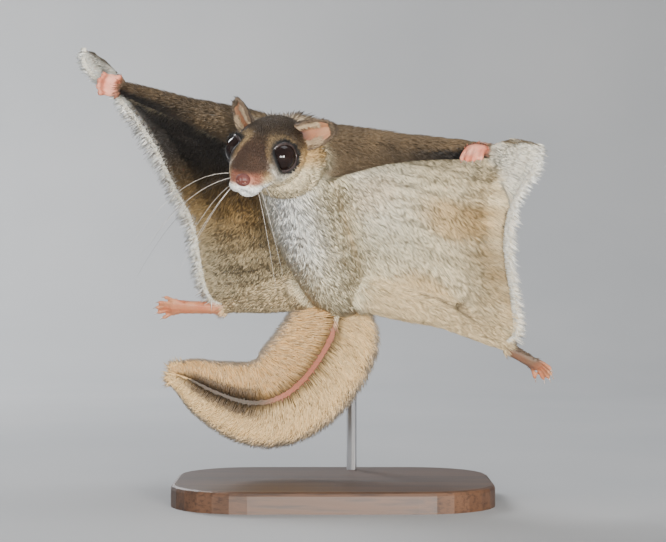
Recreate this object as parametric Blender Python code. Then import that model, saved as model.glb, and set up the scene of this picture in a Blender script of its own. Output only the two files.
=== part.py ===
"""Southern flying squirrel, Glaucomys volans, gliding: a life-size still model on a display stand.

Sizes and places are in millimetres and angles in degrees, and meshes are written in metres.
The trunk's own places are (forward, left, up) from the middle of the trunk, and the head's are
the same from the back of the skull. Left is the animal's left. The origin of the world is the
centre of the underside of the stand's base, and the animal faces -Y.
"""
import math

import bmesh
import bpy
import numpy as np
from mathutils import Matrix, Vector

MM = 0.001
# What touching pieces keep between them
GAP = 0.3

# Where the animal flies, and how it turns: to its right, nose up, and banked
TRUNK_CENTRE = (-4.3, -9.5, 109.4)
TRUNK_TURN = (15, 46.5, -8)
HEAD_CENTRE = (-18.8, -45.4, 134.5)
HEAD_TURN = (19, -17, -10)

# Trunk with its coat: forward, left, up, half width, height above, depth below
TRUNK = [
    (-49, -1.8, -0.6, 8.5, 7.0, 7.0),
    (-44, -1.3, -0.4, 12.0, 10.5, 10.0),
    (-36.7, -0.8, -0.4, 15.0, 13.0, 12.5),
    (-17.6, -3.0, -1.6, 16.5, 13.5, 13.5),
    (1.3, -5.2, -2, 17.5, 13.5, 14.0),
    (19.4, -4.7, -1.5, 17.5, 14.0, 14.5),
    (31, -3.6, -1.3, 16.2, 13.6, 14.0),
    (39, -3.0, -2.6, 14.2, 12.6, 13.0),
]
# The ruff of fur about the neck and throat, in the head's own axes
NECK_PLACE = (2.5, 1.5, -5.5)
NECK_RADII = (12.5, 16.5, 14.5)

# Head with its coat, along the head's own axes, from the back of the skull to the nose
HEAD = [
    (-3, 0, -1.0, 11.0, 10.5, 10.5),
    (5, 0, -0.6, 13.2, 11.8, 13.0),
    (12, 0, -0.5, 13.6, 12.0, 13.2),
    (18, 0, -1.0, 12.6, 11.4, 11.8),
    (24, 0, -2.0, 10.6, 9.8, 9.6),
    (29, 0, -3.0, 8.9, 7.4, 7.8),
    (33, 0, -4.0, 7.2, 5.2, 6.0),
    (35.8, 0, -4.4, 5.4, 4.0, 4.6),
    (38.0, 0, -4.6, 3.5, 2.6, 3.2),
]
EYE_PLACE = (22.2, 8.6, 1.5)
EYE_RADIUS = 5.1
EYE_TURN = 45
EYE_TILT = 10
LID_RADIUS = 4.85
LID_THICKNESS = 1.3
EAR_ROOT = (9.0, 10.5, 6.0)
# Where each ear points and where its cup faces, in the head's own axes
EAR_ALONG = {"left": (-0.30, 0.88, 0.30), "right": (-0.45, -0.64, 0.62)}
EAR_OPENING = {"left": (0.92, 0.30, -0.10), "right": (0.78, -0.62, -0.10)}
EAR_LENGTH = 13.0
EAR_HALF_WIDTH = 5.0
EAR_THICKNESS = 0.9
# Forms of the face: where each lies and its radii
CHIN = ((31.5, 0, -9.3), (5.2, 3.9, 2.3))
NOSE = ((38.5, 0, -4.0), (2.0, 2.5, 1.9))
LIP = ((34.8, 2.8, -6.6), (4.4, 3.3, 3.0))
BROW = ((20.2, 6.9, 1.2), (6.4, 5.0, 6.6))
NOSTRIL = ((40.2, 1.25, -4.3), (1.0, 0.55, 0.5))
# The cleft under the nose, and the mouth from its middle to its corner
CLEFT = [(40.5, 0, -5.6), (39.5, 0, -7.0), (38.5, 0, -8.6)]
CLEFT_WIDTH = 0.5
HALF_MOUTH = [(38.1, 1.2, -8.9), (36.6, 3.0, -9.6), (34.2, 4.6, -9.6), (31.0, 5.8, -8.9), (28.5, 7.0, -7.8)]
MOUTH_WIDTH = 0.7
# The planes that part the trunk from the neck and the neck from the head, in the trunk's axes
NECK_PLANE = ((37.5, -3, -3), (0.88, 0.03, -0.47))
HEAD_PLANE = ((44.7, -4, -13), (0.62, 0.1, -0.78))

# Limbs, each from the shoulder or hip out: forward, left, up, half width, height above, depth below
ELBOW = 3
KNEE = 2
ARM = {
    "left": [
        (34.0, 6.0, -2.0, 11.5, 9.0, 11.0),
        (37.0, 18.0, -2.6, 10.0, 8.0, 10.0),
        (39.3, 30.0, -3.2, 7.8, 6.2, 7.6),
        (40.9, 41.5, -4.0, 6.0, 5.4, 5.8),
        (40.0, 56.0, -2.0, 5.0, 4.6, 4.6),
        (38.6, 68.5, 0.2, 3.7, 3.5, 3.5),
    ],
    "right": [
        (34.0, -9.0, 0.5, 11.5, 9.0, 11.0),
        (39.0, -19.0, 0.0, 9.6, 7.8, 9.4),
        (44.8, -30.0, -1.6, 7.6, 6.2, 7.0),
        (49.6, -40.9, -3.1, 6.0, 5.4, 5.6),
        (52.0, -55.5, -0.7, 5.0, 4.6, 4.6),
        (54.4, -69.7, 1.6, 3.6, 3.4, 3.4),
    ],
}
LEG = {
    "left": [
        (-37.5, 10.0, -0.3, 9.5, 9.5, 9.5),
        (-40.5, 29.0, -2.0, 8.8, 8.2, 8.2),
        (-42.8, 41.9, -3.2, 7.2, 6.6, 6.6),
        (-50.5, 54.0, -2.6, 5.2, 5.0, 5.0),
        (-58.9, 65.7, -2.1, 3.0, 2.9, 2.9),
    ],
    "right": [
        (-38.4, -8.0, 1.8, 9.5, 9.5, 9.5),
        (-42.5, -20.0, -1.0, 8.8, 8.2, 8.2),
        (-45.7, -31.1, -2.9, 7.2, 6.6, 6.6),
        (-50.5, -42.0, -2.3, 5.2, 5.0, 5.0),
        (-55.7, -52.4, -1.6, 3.0, 2.9, 2.9),
    ],
}

# The front edge of each wing tip beyond the wrist, then its outer edge down to the ankle
WING_FRONT = {
    "left": [(37.4, 74.9, 7.4), (33.9, 79.0, 13.7)],
    "right": [(57.2, -76.5, 8.3), (58.9, -84.8, 14.6)],
}
MEMBRANE_EDGE = {
    "left": [
        (29.2, 85.1, 16.8), (25.2, 85.0, 14.2), (20.7, 83.9, 12.1), (11.1, 78.1, 11.4), (-0.2, 73.0, 9.5),
        (-16.7, 69.9, 7.8), (-39.8, 70.6, 4.6), (-54.3, 70.8, 0.7), (-58.9, 65.7, -2.1),
    ],
    "right": [
        (59.7, -93.0, 17.1), (56.4, -92.0, 12.8), (53.0, -87.4, 8.9), (49.3, -80.6, 5.7),
        (45.4, -75.6, 4.4), (27.2, -67.1, 2.9), (7.9, -62.4, 1.1), (-12.7, -58.7, 0.5),
        (-33.9, -59.0, -3.0), (-47.7, -58.3, -3.8), (-55.7, -52.4, -1.6),
    ],
}
MEMBRANE_BILLOW = 9.0
MEMBRANE_THICKNESS = 3.2
MEMBRANE_RIM = 1.5
# Which way the wing tip lies from the wrist
WING_TIP_SIDE = {"left": (0.2, 0.9, 0.4), "right": (0.3, -0.85, 0.4)}

# Hands and feet: where they point and where their backs face, in the world
HAND_TURN = {
    "left": ((-0.42, -0.90, 0.06), (0.02, 0.05, 0.99)),
    "right": ((-0.93, -0.33, 0.16), (-0.28, 0.90, 0.14)),
}
HAND_CURL = {"left": 1.0, "right": 0.85}
FOOT_TURN = {
    "left": ((0.83, 0.32, -0.45), (0.30, 0.55, 0.78)),
    "right": ((-0.985, -0.15, 0.04), (-0.10, 0.80, 0.59)),
}
PALM_LENGTH = 6.5
SOLE_LENGTH = 22.0

# The tail's middle line in the world, from its root to its tip, with half its width across the hair
TAIL = [
    (2.4, 24.0, 74.9, 11.5), (1.2, 23.0, 67.8, 18.2), (-2.0, 21.0, 59.1, 20.3), (-7.9, 18.0, 49.8, 20.6),
    (-16.1, 14.0, 41.4, 20.0), (-25.4, 11.0, 37.2, 18.8), (-35.0, 8.5, 37.4, 16.2), (-46.2, 7.0, 41.4, 12.8),
    (-55.4, 5.5, 46.1, 8.8), (-63.1, 4.0, 48.9, 4.0),
]
TAIL_HALF_THICKNESS = 5.0
# The furred core under the locks, as a share of the half width, and its half thickness
CORE_SHARE = 0.46
CORE_HALF_THICKNESS = 3.6
# Tiers of locks: how many on each side, how far out their tips lie, and how far before the tail's plane
LOCK_TIERS = [(12, 1.07, 0.0), (7, 0.76, 2.3), (6, 0.76, -2.3)]
# Half a lock's width as a share of the distance between locks, so that they overlap
LOCK_HALF_WIDTH = 0.62
LOCK_HALF_THICKNESS = 1.3
# How far a lock sweeps towards the tail's tip, as a share of how far out it reaches
LOCK_SWEEP = 0.85
# Along a lock: share of its length, of its width and of its thickness
LOCK_SHAPE = [(0.0, 0.85, 1.0), (0.33, 1.0, 0.9), (0.68, 0.72, 0.7), (1.0, 0.10, 0.30)]
# How far down the tail its lengths meet
TAIL_JOINTS = (0.34, 0.67)

# Display stand
BASE_SIZE = (122.0, 96.0, 8.0)
BASE_CORNER = 30.0
BASE_BEVEL = 1.5
ROD_DIAMETER = 4.0
ROD_PATH = [
    (7.5, 37.0, 5.0), (7.5, 37.0, 40.0), (7.5, 37.0, 74.0),
    (7.8, 35.0, 84.0), (8.3, 29.0, 90.5), (8.5, 18.0, 91.5),
]

FUR_BACK = (0.20, 0.16, 0.12)
FUR_BELLY = (0.72, 0.66, 0.56)
FUR_TAIL = (0.52, 0.38, 0.24)
SKIN_PINK = (0.72, 0.40, 0.34)
EYE_BLACK = (0.01, 0.01, 0.012)
WALNUT = (0.06, 0.035, 0.02)
STEEL = (0.55, 0.55, 0.56)


class Frame:
    """Axes forward, left and up about a centre, all in world millimetres."""

    def __init__(self, centre, heading, climb, bank):
        heading, climb, bank = (math.radians(angle) for angle in (heading, climb, bank))
        self.centre = np.array(centre, float)
        self.forward = np.array((
            -math.sin(heading) * math.cos(climb),
            -math.cos(heading) * math.cos(climb),
            math.sin(climb),
        ))
        level = np.array((math.cos(heading), -math.sin(heading), 0.0))
        self.left = level * math.cos(bank) + np.cross(self.forward, level) * math.sin(bank)
        self.up = np.cross(self.forward, self.left)

    def direction(self, forward, left, up):
        return forward * self.forward + left * self.left + up * self.up

    def at(self, forward, left, up):
        return self.centre + self.direction(forward, left, up)

    def stations(self, rows, extra=0):
        """The same stations with their places in the world, thicker all round by the extra."""
        return [(*self.at(*row[:3]), *(size + extra for size in row[3:])) for row in rows]


class LimbFrame(Frame):
    """Axes about a wrist or ankle: forward to the tips, up out of the back of the hand or foot."""

    def __init__(self, centre, forward, up):
        self.centre = np.array(centre, float)
        self.forward = unit(np.array(forward, float))
        self.left = unit(np.cross(up, self.forward))
        self.up = np.cross(self.forward, self.left)


def unit(vectors):
    """Vectors of length one, for one vector or rows of them."""
    vectors = np.asarray(vectors, float)
    return vectors / np.linalg.norm(vectors, axis=-1, keepdims=True)


def smooth_rows(rows, samples):
    """Rows of numbers read at even steps along a smooth curve through the rows given."""
    rows = np.asarray(rows, float)
    padded = np.vstack((2 * rows[0] - rows[1], rows, 2 * rows[-1] - rows[-2]))
    result = []
    for place in np.linspace(0, len(rows) - 1, samples):
        index = min(int(place), len(rows) - 2)
        t = place - index
        a, b, c, d = padded[index:index + 4]
        bend = (2 * a - 5 * b + 4 * c - d) * t ** 2 + (3 * b - a - 3 * c + d) * t ** 3
        result.append(0.5 * (2 * b + (c - a) * t + bend))
    return np.array(result)


def new_collection(name):
    collection = bpy.data.collections.new(name)
    bpy.context.scene.collection.children.link(collection)
    return collection


def new_piece(name, points, faces):
    """A mesh object from points in millimetres, with its faces turned outwards."""
    mesh = bpy.data.meshes.new(name)
    mesh.from_pydata([tuple(point * MM) for point in np.asarray(points)], [], faces)
    piece = bpy.data.objects.new(name, mesh)
    WORKSHOP.objects.link(piece)
    shell = bmesh.new()
    shell.from_mesh(mesh)
    bmesh.ops.recalc_face_normals(shell, faces=shell.faces)
    shell.to_mesh(mesh)
    shell.free()
    return piece


def loft(name, stations, up, rings=12, sides=14, domes=(0.6, 0.6), dome_angles=(35, 65)):
    """A closed round piece through stations of x, y, z, half width, height above and depth below.

    Each end is rounded off by a dome, whose height is given as a share of the end's size.
    """
    rows = smooth_rows(stations, rings)
    centres, widths, heights, depths = rows[:, :3], rows[:, 3], rows[:, 4], rows[:, 5]
    along = unit(np.gradient(centres, axis=0))
    side = unit(np.cross(up, along))
    above = np.cross(along, side)

    turns = [math.radians(angle) for angle in dome_angles]
    start = [(0, -domes[0] * math.sin(turn), math.cos(turn)) for turn in turns]
    end = [(rings - 1, domes[1] * math.sin(turn), math.cos(turn)) for turn in turns]
    slices = start[::-1] + [(index, 0.0, 1.0) for index in range(rings)] + end

    angles = np.arange(sides) * 2 * math.pi / sides
    points = []
    for index, offset, share in slices:
        size = (widths[index] + heights[index] + depths[index]) / 3
        centre = centres[index] + along[index] * offset * size
        for angle in angles:
            height = heights[index] if math.sin(angle) > 0 else depths[index]
            sideways = side[index] * widths[index] * math.cos(angle)
            points.append(centre + share * (sideways + above[index] * height * math.sin(angle)))
    for end, dome in ((0, -domes[0]), (rings - 1, domes[1])):
        size = (widths[end] + heights[end] + depths[end]) / 3
        points.append(centres[end] + along[end] * dome * size)

    faces = []
    for ring in range(len(slices) - 1):
        for corner in range(sides):
            near, far = ring * sides + corner, ring * sides + (corner + 1) % sides
            faces.append((near, far, far + sides))
            faces.append((near, far + sides, near + sides))
    last_ring = (len(slices) - 1) * sides
    for corner in range(sides):
        following = (corner + 1) % sides
        faces.append((following, corner, len(points) - 2))
        faces.append((last_ring + corner, last_ring + following, len(points) - 1))
    return new_piece(name, points, faces)


def ellipsoid(name, centre, radii, frame, segments=16, rings=10, extra=0):
    """A ball stretched along a frame's axes."""
    centre = np.array(centre)
    radii = np.array(radii) + extra
    bpy.ops.mesh.primitive_uv_sphere_add(segments=segments, ring_count=rings, radius=1)
    ball = bpy.context.object
    ball.name = name
    points = [frame.at(*(centre + radii * np.array(vertex.co))) for vertex in ball.data.vertices]
    faces = [tuple(face.vertices) for face in ball.data.polygons]
    mesh = ball.data
    bpy.data.objects.remove(ball)
    bpy.data.meshes.remove(mesh)
    return new_piece(name, points, faces)


def sheet(name, grid, thickness):
    """A closed thin sheet about a grid of points, with the same triangles on both faces."""
    rows, columns = grid.shape[:2]
    normals = unit(np.cross(np.gradient(grid, axis=0), np.gradient(grid, axis=1)))
    offset = normals * np.broadcast_to(thickness, (rows, columns))[..., None] / 2
    points = np.vstack(((grid + offset).reshape(-1, 3), (grid - offset).reshape(-1, 3)))
    under = rows * columns
    faces = []
    for row in range(rows - 1):
        for column in range(columns - 1):
            a = row * columns + column
            b, c, d = a + 1, a + columns + 1, a + columns
            for corners in ((a, b, c), (a, c, d)):
                faces.append(corners)
                faces.append(tuple(corner + under for corner in corners[::-1]))
    rim = list(range(columns - 1))
    rim += [row * columns + columns - 1 for row in range(rows - 1)]
    rim += [(rows - 1) * columns + column for column in range(columns - 1, 0, -1)]
    rim += [row * columns for row in range(rows - 1, 0, -1)]
    for near, far in zip(rim, rim[1:] + rim[:1]):
        faces.append((near, near + under, far + under))
        faces.append((near, far + under, far))
    return new_piece(name, points, faces)


def replace_mesh(piece, mesh):
    old = piece.data
    piece.data = mesh
    bpy.data.meshes.remove(old)


def combine(piece, operation, tools):
    """Joins tools to a piece, or cuts them out of it, and removes them."""
    group = bpy.data.collections.new("tools")
    for tool in tools:
        group.objects.link(tool)
    change = piece.modifiers.new("combine", "BOOLEAN")
    change.operation = operation
    change.operand_type = "COLLECTION"
    change.collection = group
    change.solver = "EXACT"
    settled = piece.evaluated_get(bpy.context.evaluated_depsgraph_get())
    mesh = bpy.data.meshes.new_from_object(settled)
    piece.modifiers.clear()
    replace_mesh(piece, mesh)
    for tool in tools:
        bpy.data.objects.remove(tool)
    bpy.data.collections.remove(group)
    keep_largest(piece)
    return piece


def keep_largest(piece):
    """Drops loose scraps, so that the piece is one closed surface."""
    shell = bmesh.new()
    shell.from_mesh(piece.data)
    unseen = set(shell.faces)
    surfaces = []
    while unseen:
        surface = [unseen.pop()]
        for face in surface:
            for edge in face.edges:
                for neighbour in edge.link_faces:
                    if neighbour in unseen:
                        unseen.remove(neighbour)
                        surface.append(neighbour)
        surfaces.append(surface)
    surfaces.sort(key=lambda surface: sum(face.calc_area() for face in surface))
    for surface in surfaces[:-1]:
        bmesh.ops.delete(shell, geom=surface, context="FACES")
    shell.to_mesh(piece.data)
    shell.free()


def wrapped(piece):
    """The piece's convex wrap with its surface pushed out by the gap, for cutting its neighbours clear."""
    wrap = new_piece("wrap", [np.array(vertex.co) / MM for vertex in piece.data.vertices], [])
    shell = bmesh.new()
    shell.from_mesh(wrap.data)
    hull = bmesh.ops.convex_hull(shell, input=shell.verts)
    inside = [item for item in hull["geom_interior"] if isinstance(item, bmesh.types.BMVert)]
    bmesh.ops.delete(shell, geom=inside, context="VERTS")
    bmesh.ops.recalc_face_normals(shell, faces=shell.faces)
    shell.normal_update()
    for vertex in shell.verts:
        vertex.co += vertex.normal * GAP * MM
    shell.to_mesh(wrap.data)
    shell.free()
    return wrap


def half_space(point, normal):
    """A large block whose near face is half a gap short of a plane."""
    reach = 150
    bpy.ops.mesh.primitive_cube_add(size=2 * reach * MM)
    block = bpy.context.object
    turn = Vector(normal).to_track_quat("Z", "Y").to_matrix().to_4x4()
    middle = Vector((np.array(point) + normal * (reach - GAP / 2)) * MM)
    block.data.transform(Matrix.Translation(middle) @ turn)
    return block


def part(piece, point, normal, far_name):
    """Parts a piece at a plane with a cut of the gap's width, and gives back the far side."""
    normal = unit(normal)
    far = piece.copy()
    far.data = piece.data.copy()
    far.name = far_name
    NODES.objects.link(far)
    combine(piece, "DIFFERENCE", [half_space(point, normal)])
    combine(far, "DIFFERENCE", [half_space(point, -normal)])
    return far


def finish(piece, name, colour, roughness=0.8, metallic=0.0, smooth=True):
    """Names a piece, gives it its own material and moves it to the model's collection."""
    piece.name = name
    piece.data.name = name
    for collection in list(piece.users_collection):
        collection.objects.unlink(piece)
    NODES.objects.link(piece)
    material = bpy.data.materials.new(name)
    material.use_nodes = True
    shader = material.node_tree.nodes["Principled BSDF"]
    shader.inputs["Base Color"].default_value = (*colour, 1)
    shader.inputs["Roughness"].default_value = roughness
    shader.inputs["Metallic"].default_value = metallic
    piece.data.materials.clear()
    piece.data.materials.append(material)
    if smooth:
        piece.data.shade_smooth()
    return piece


def mirrored(place, side):
    """A place of the left side, or its mirror image on the right."""
    forward, left, up = place
    return (forward, left if side == "left" else -left, up)


def eye_axis(side):
    turn, tilt = math.radians(EYE_TURN), math.radians(EYE_TILT)
    along = (math.cos(turn) * math.cos(tilt), math.sin(turn) * math.cos(tilt), math.sin(tilt))
    return head_frame.direction(*mirrored(along, side))


def lid_rim(side):
    """The ring of the lids, round the part of the eye that shows."""
    axis = eye_axis(side)
    across = unit(np.cross(axis, (0, 0, 1)))
    above = np.cross(across, axis)
    centre = head_frame.at(*mirrored(EYE_PLACE, side)) + axis * math.sqrt(EYE_RADIUS ** 2 - LID_RADIUS ** 2)
    steps, corners = 16, 4
    points, faces = [], []
    for step in range(steps):
        angle = step * 2 * math.pi / steps
        outward = across * math.cos(angle) + above * math.sin(angle)
        for corner in range(corners):
            turn = corner * 2 * math.pi / corners
            reach = LID_RADIUS + LID_THICKNESS / 2 * math.cos(turn)
            points.append(centre + outward * reach + axis * LID_THICKNESS / 2 * math.sin(turn))
    count = steps * corners
    for step in range(steps):
        for corner in range(corners):
            near, far = step * corners + corner, step * corners + (corner + 1) % corners
            faces.append((near, far, (far + corners) % count, (near + corners) % count))
    return new_piece("lid", points, faces)


def groove(piece, places, width):
    """Cuts a thin groove into the skin of the head along places brought onto its surface."""
    path = []
    for place in places:
        nearest = piece.closest_point_on_mesh(tuple(head_frame.at(*place) * MM))[1]
        path.append((*(np.array(nearest) / MM), width / 2, width / 2, width / 2))
    cutter = loft("groove", path, head_frame.up, rings=2 * len(path) - 1, sides=4)
    combine(piece, "DIFFERENCE", [cutter])


def body_forms(extra=0):
    """Trunk, head and neck as plain forms that run into one another."""
    trunk = trunk_frame.stations(TRUNK, extra)
    head = head_frame.stations(HEAD, extra)
    return [
        loft("torso", trunk, trunk_frame.up, rings=14, sides=18, domes=(0.5, 0.6)),
        loft("head", head, head_frame.up, rings=15, sides=20, domes=(0.6, 0.5)),
        ellipsoid("neck", NECK_PLACE, NECK_RADII, head_frame, 18, 10, extra),
    ]


def body_core():
    """Trunk, neck and head joined, with the nose, lips, chin, brows and lids."""
    core, *forms = body_forms()
    forms.append(ellipsoid("chin", *CHIN, head_frame, 10, 6))
    forms.append(ellipsoid("nose", *NOSE, head_frame, 10, 6))
    for side in ("left", "right"):
        forms.append(ellipsoid("lip", mirrored(LIP[0], side), LIP[1], head_frame, 10, 6))
        forms.append(ellipsoid("brow", mirrored(BROW[0], side), BROW[1], head_frame, 14, 8))
        forms.append(lid_rim(side))
    return combine(core, "UNION", forms)


def carve_face(head):
    """The nostrils, the cleft below the nose and the line of the mouth."""
    cuts = [ellipsoid("nostril", mirrored(NOSTRIL[0], side), NOSTRIL[1], head_frame, 8, 6)
            for side in ("left", "right")]
    combine(head, "DIFFERENCE", cuts)
    groove(head, CLEFT, CLEFT_WIDTH)
    groove(head, [mirrored(place, "right") for place in reversed(HALF_MOUTH)] + HALF_MOUTH, MOUTH_WIDTH)


def eye(side, extra=0):
    return ellipsoid("eye_" + side, mirrored(EYE_PLACE, side), (EYE_RADIUS,) * 3, head_frame, 16, 9, extra)


def ear(side):
    """A thin cupped ear laid back along the neck, open forwards and outwards."""
    root = head_frame.at(*mirrored(EAR_ROOT, side))
    along = unit(head_frame.direction(*EAR_ALONG[side]))
    opening = unit(head_frame.direction(*EAR_OPENING[side]))
    opening = unit(opening - along * (opening @ along))
    across = np.cross(along, opening)
    rows, columns = 7, 8
    grid = np.zeros((rows, columns, 3))
    for row in range(rows):
        share = row / (rows - 1)
        half_width = EAR_HALF_WIDTH * math.sqrt(max(1 - (1.12 * share - 0.30) ** 2 / 0.72, 0.02))
        cup = 3.4 * (1 - 0.55 * share)
        for column in range(columns):
            turn = (column / (columns - 1) * 2 - 1) * math.radians(82 - 30 * share)
            place = across * half_width * math.sin(turn) - opening * cup * (math.cos(turn) - 0.3)
            grid[row, column] = root + along * EAR_LENGTH * (share - 0.12) + place
    return sheet("ear_" + side, grid, EAR_THICKNESS)


def limb(name, rows, extra=0):
    return loft(name, trunk_frame.stations(rows, extra), trunk_frame.up, rings=12, sides=12, domes=(0.6, 0.5))


def digit(frame, root, reach, curl, radius, claw):
    """A finger or toe with its claw, curling towards the palm or sole."""
    root = np.array(root, float)
    reach = np.array(reach, float)
    length = np.linalg.norm(reach)
    path = []
    for share in (0.0, 0.5, 1.0):
        place = root + reach * share - np.array((0, 0, 1)) * curl * length * share ** 2
        size = radius * (1 + 0.18 * math.cos(share * 2 * math.pi))
        path.append((*frame.at(*place), size, size, size))
    tip = root + reach - np.array((0, 0, 1)) * curl * length
    lead = unit(reach - np.array((0, 0, 1)) * 2 * curl * length)
    claw_path = []
    for share in (0.0, 1.0):
        place = tip + lead * claw * share - np.array((0, 0, 1)) * 0.35 * claw * share ** 2
        size = 0.55 * radius * (1 - 0.85 * share)
        claw_path.append((*frame.at(*(place + np.array((0, 0, 0.25 * radius)))), size, size, size))
    return [
        loft("digit", path, frame.up, rings=3, sides=5, domes=(0.8, 0.8), dome_angles=(45,)),
        loft("claw", claw_path, frame.up, rings=2, sides=4, domes=(0.5, 0.5), dome_angles=()),
    ]


def hand(side):
    """The palm, four fingers that curl a little, and the stub of the thumb."""
    frame = LimbFrame(trunk_frame.at(*ARM[side][-1][:3]), *HAND_TURN[side])
    palm = loft("hand_" + side, frame.stations([
        (-2.0, 0, 0, 3.0, 2.6, 2.6),
        (1.5, 0, 0, 3.5, 2.3, 2.4),
        (4.5, 0, -0.2, 4.1, 2.0, 2.4),
        (PALM_LENGTH, 0, -0.3, 4.0, 1.7, 2.0),
    ]), frame.up, rings=6, sides=8)
    digits = []
    for index in range(4):
        spread = (index - 1.5) / 1.5
        root = (PALM_LENGTH - 0.6 - 0.8 * spread ** 2, 3.2 * spread, -0.3)
        reach = (4.8 - 0.6 * spread ** 2, 0.3 * spread, 0.6)
        digits += digit(frame, root, reach, HAND_CURL[side], 1.05, 1.5)
    thumb_side = -1 if side == "left" else 1
    digits.append(ellipsoid("thumb", (3.0, 3.7 * thumb_side, -1.2), (1.4, 1.0, 1.0), frame, 8, 6))
    return combine(palm, "UNION", digits)


def foot(side):
    """A long sole and five toes, the middle three longest."""
    frame = LimbFrame(trunk_frame.at(*LEG[side][-1][:3]), *FOOT_TURN[side])
    length = SOLE_LENGTH if side == "right" else SOLE_LENGTH * 0.72
    sole = loft("foot_" + side, frame.stations([
        (-1.0, 0, 0, 2.9, 2.8, 2.8),
        (length * 0.3, 0, -0.4, 2.7, 2.1, 2.2),
        (length * 0.7, 0, -0.6, 3.2, 1.8, 1.9),
        (length, 0, -0.6, 3.6, 1.5, 1.7),
    ]), frame.up, rings=5, sides=8)
    curl = 0.16 if side == "right" else 0.42
    digits = []
    for index in range(5):
        spread = (index - 2) / 2
        root = (length - 0.8 - 1.4 * spread ** 2, 2.7 * spread, -0.6)
        digits += digit(frame, root, (6.6 - 1.6 * spread ** 2, 2.3 * spread, 0.4), curl, 0.92, 1.9)
    return combine(sole, "UNION", digits)


def edge_through(rows, samples):
    return smooth_rows([row[:3] for row in rows], samples)


def membrane(side):
    """The furred membrane from arm to leg, billowing up between them, about a Coons patch."""
    rim = MEMBRANE_EDGE[side]
    across, down = 13, 14
    front = edge_through(ARM[side] + WING_FRONT[side] + [rim[0]], across)
    rear = edge_through(LEG[side], across)
    inner = edge_through([ARM[side][0], (0, ARM[side][0][1], 0), LEG[side][0]], down)
    outer = edge_through(rim, down)
    u = np.linspace(0, 1, across)[:, None, None]
    v = np.linspace(0, 1, down)[None, :, None]
    ruled = (1 - v) * front[:, None] + v * rear[:, None] + (1 - u) * inner[None] + u * outer[None]
    corners = ((1 - u) * (1 - v) * front[0] + u * (1 - v) * front[-1]
               + (1 - u) * v * rear[0] + u * v * rear[-1])
    grid = ruled - corners
    billow = MEMBRANE_BILLOW * np.sin(math.pi * u) ** 0.8 * np.sin(math.pi * v) ** 0.8
    grid[..., 2:] += billow
    world = np.array([[trunk_frame.at(*place) for place in row] for row in grid])
    share = np.clip(2.2 * (1 - u[..., 0]), 0, 1) ** 0.7
    thickness = MEMBRANE_RIM + (MEMBRANE_THICKNESS - MEMBRANE_RIM) * share
    return sheet("patagium_" + side, world, thickness)


def tail_envelope(extra):
    """The tail's outline out to the tips of its hair, which its neighbours are cut clear of."""
    rows = []
    for x, y, z, half_width in TAIL:
        thickness = TAIL_HALF_THICKNESS * min(1, half_width / 12) + extra
        rows.append((x, y, z, half_width + extra, thickness, thickness))
    return loft("tail_envelope", rows, (0, -1, 0), rings=20, sides=16, domes=(0.3, 0.6))


def tail_travel():
    """Close rows along the tail, and the distance of each from the tail's root."""
    rows = smooth_rows(TAIL, 61)
    steps = np.linalg.norm(np.diff(rows[:, :3], axis=0), axis=1)
    return rows, np.concatenate(([0], np.cumsum(steps)))


def tail_line(distance):
    """Place, sideways direction and half width at a distance down the tail, past its end too."""
    rows, travelled = tail_travel()
    inside = min(distance, travelled[-1])
    place = np.array([np.interp(inside, travelled, rows[:, axis]) for axis in range(4)])
    index = min(int(np.searchsorted(travelled, inside)), len(rows) - 1)
    ahead, behind = rows[min(index + 1, len(rows) - 1), :3], rows[max(index - 2, 0), :3]
    along = unit(ahead - behind)
    side = unit(np.cross((0, -1, 0), along))
    beyond = distance - inside
    return place[:3] + along * beyond, side, max(place[3] - beyond, 0.4)


def lock(start, side, reach, lift, half_width, variation):
    """A flat tapered lock that leaves the tail's core sideways and bends towards its tip."""
    stations = []
    sweep = LOCK_SWEEP * reach * tail_line(start)[2] * variation
    for share, width, thickness in LOCK_SHAPE:
        place, sideways, out = tail_line(start + sweep * share ** 1.3)
        place = place + sideways * side * out * reach * variation * (0.12 + 0.88 * share ** 0.85)
        place = place + np.array((0, -1, 0)) * lift * (1 - 0.45 * share)
        thickness *= LOCK_HALF_THICKNESS
        stations.append((*place, half_width * width, thickness, thickness))
    return loft("lock", stations, (0, -1, 0), rings=4, sides=4, domes=(0.3, 0.5), dome_angles=())


def tail():
    """The flat tail, curling to the animal's right: a furred core and locks that part down its middle."""
    rows = []
    for x, y, z, half_width in TAIL:
        thickness = CORE_HALF_THICKNESS * min(1, half_width / 10)
        rows.append((x, y, z, half_width * CORE_SHARE, thickness, thickness))
    core = loft("tail_base", rows, (0, -1, 0), rings=16, sides=10, domes=(0.3, 0.6))
    length = tail_travel()[1][-1]
    chance = np.random.default_rng(5)
    locks = []
    for count, reach, lift in LOCK_TIERS:
        spacing = length / count
        for side in (-1, 1):
            for index in range(count):
                variation = 1 - chance.uniform(0.0, 0.07)
                start = (index - 0.3 + 0.25 * (side + 1)) * spacing
                slimness = min(1, tail_line(start)[2] / 12)
                half_width = LOCK_HALF_WIDTH * spacing * (0.6 + 0.4 * slimness)
                locks.append(lock(start, side, reach, lift * slimness, half_width, variation))
    return combine(core, "UNION", locks)


def part_tail(base):
    """Parts the tail at its joints."""
    line = smooth_rows([row[:3] for row in TAIL], 101)
    lengths = [base]
    for joint, name in zip(TAIL_JOINTS, ("tail_middle", "tail_tip")):
        index = round(joint * 100)
        lengths.append(part(lengths[-1], line[index], line[index + 1] - line[index - 1], name))
    return lengths


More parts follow.
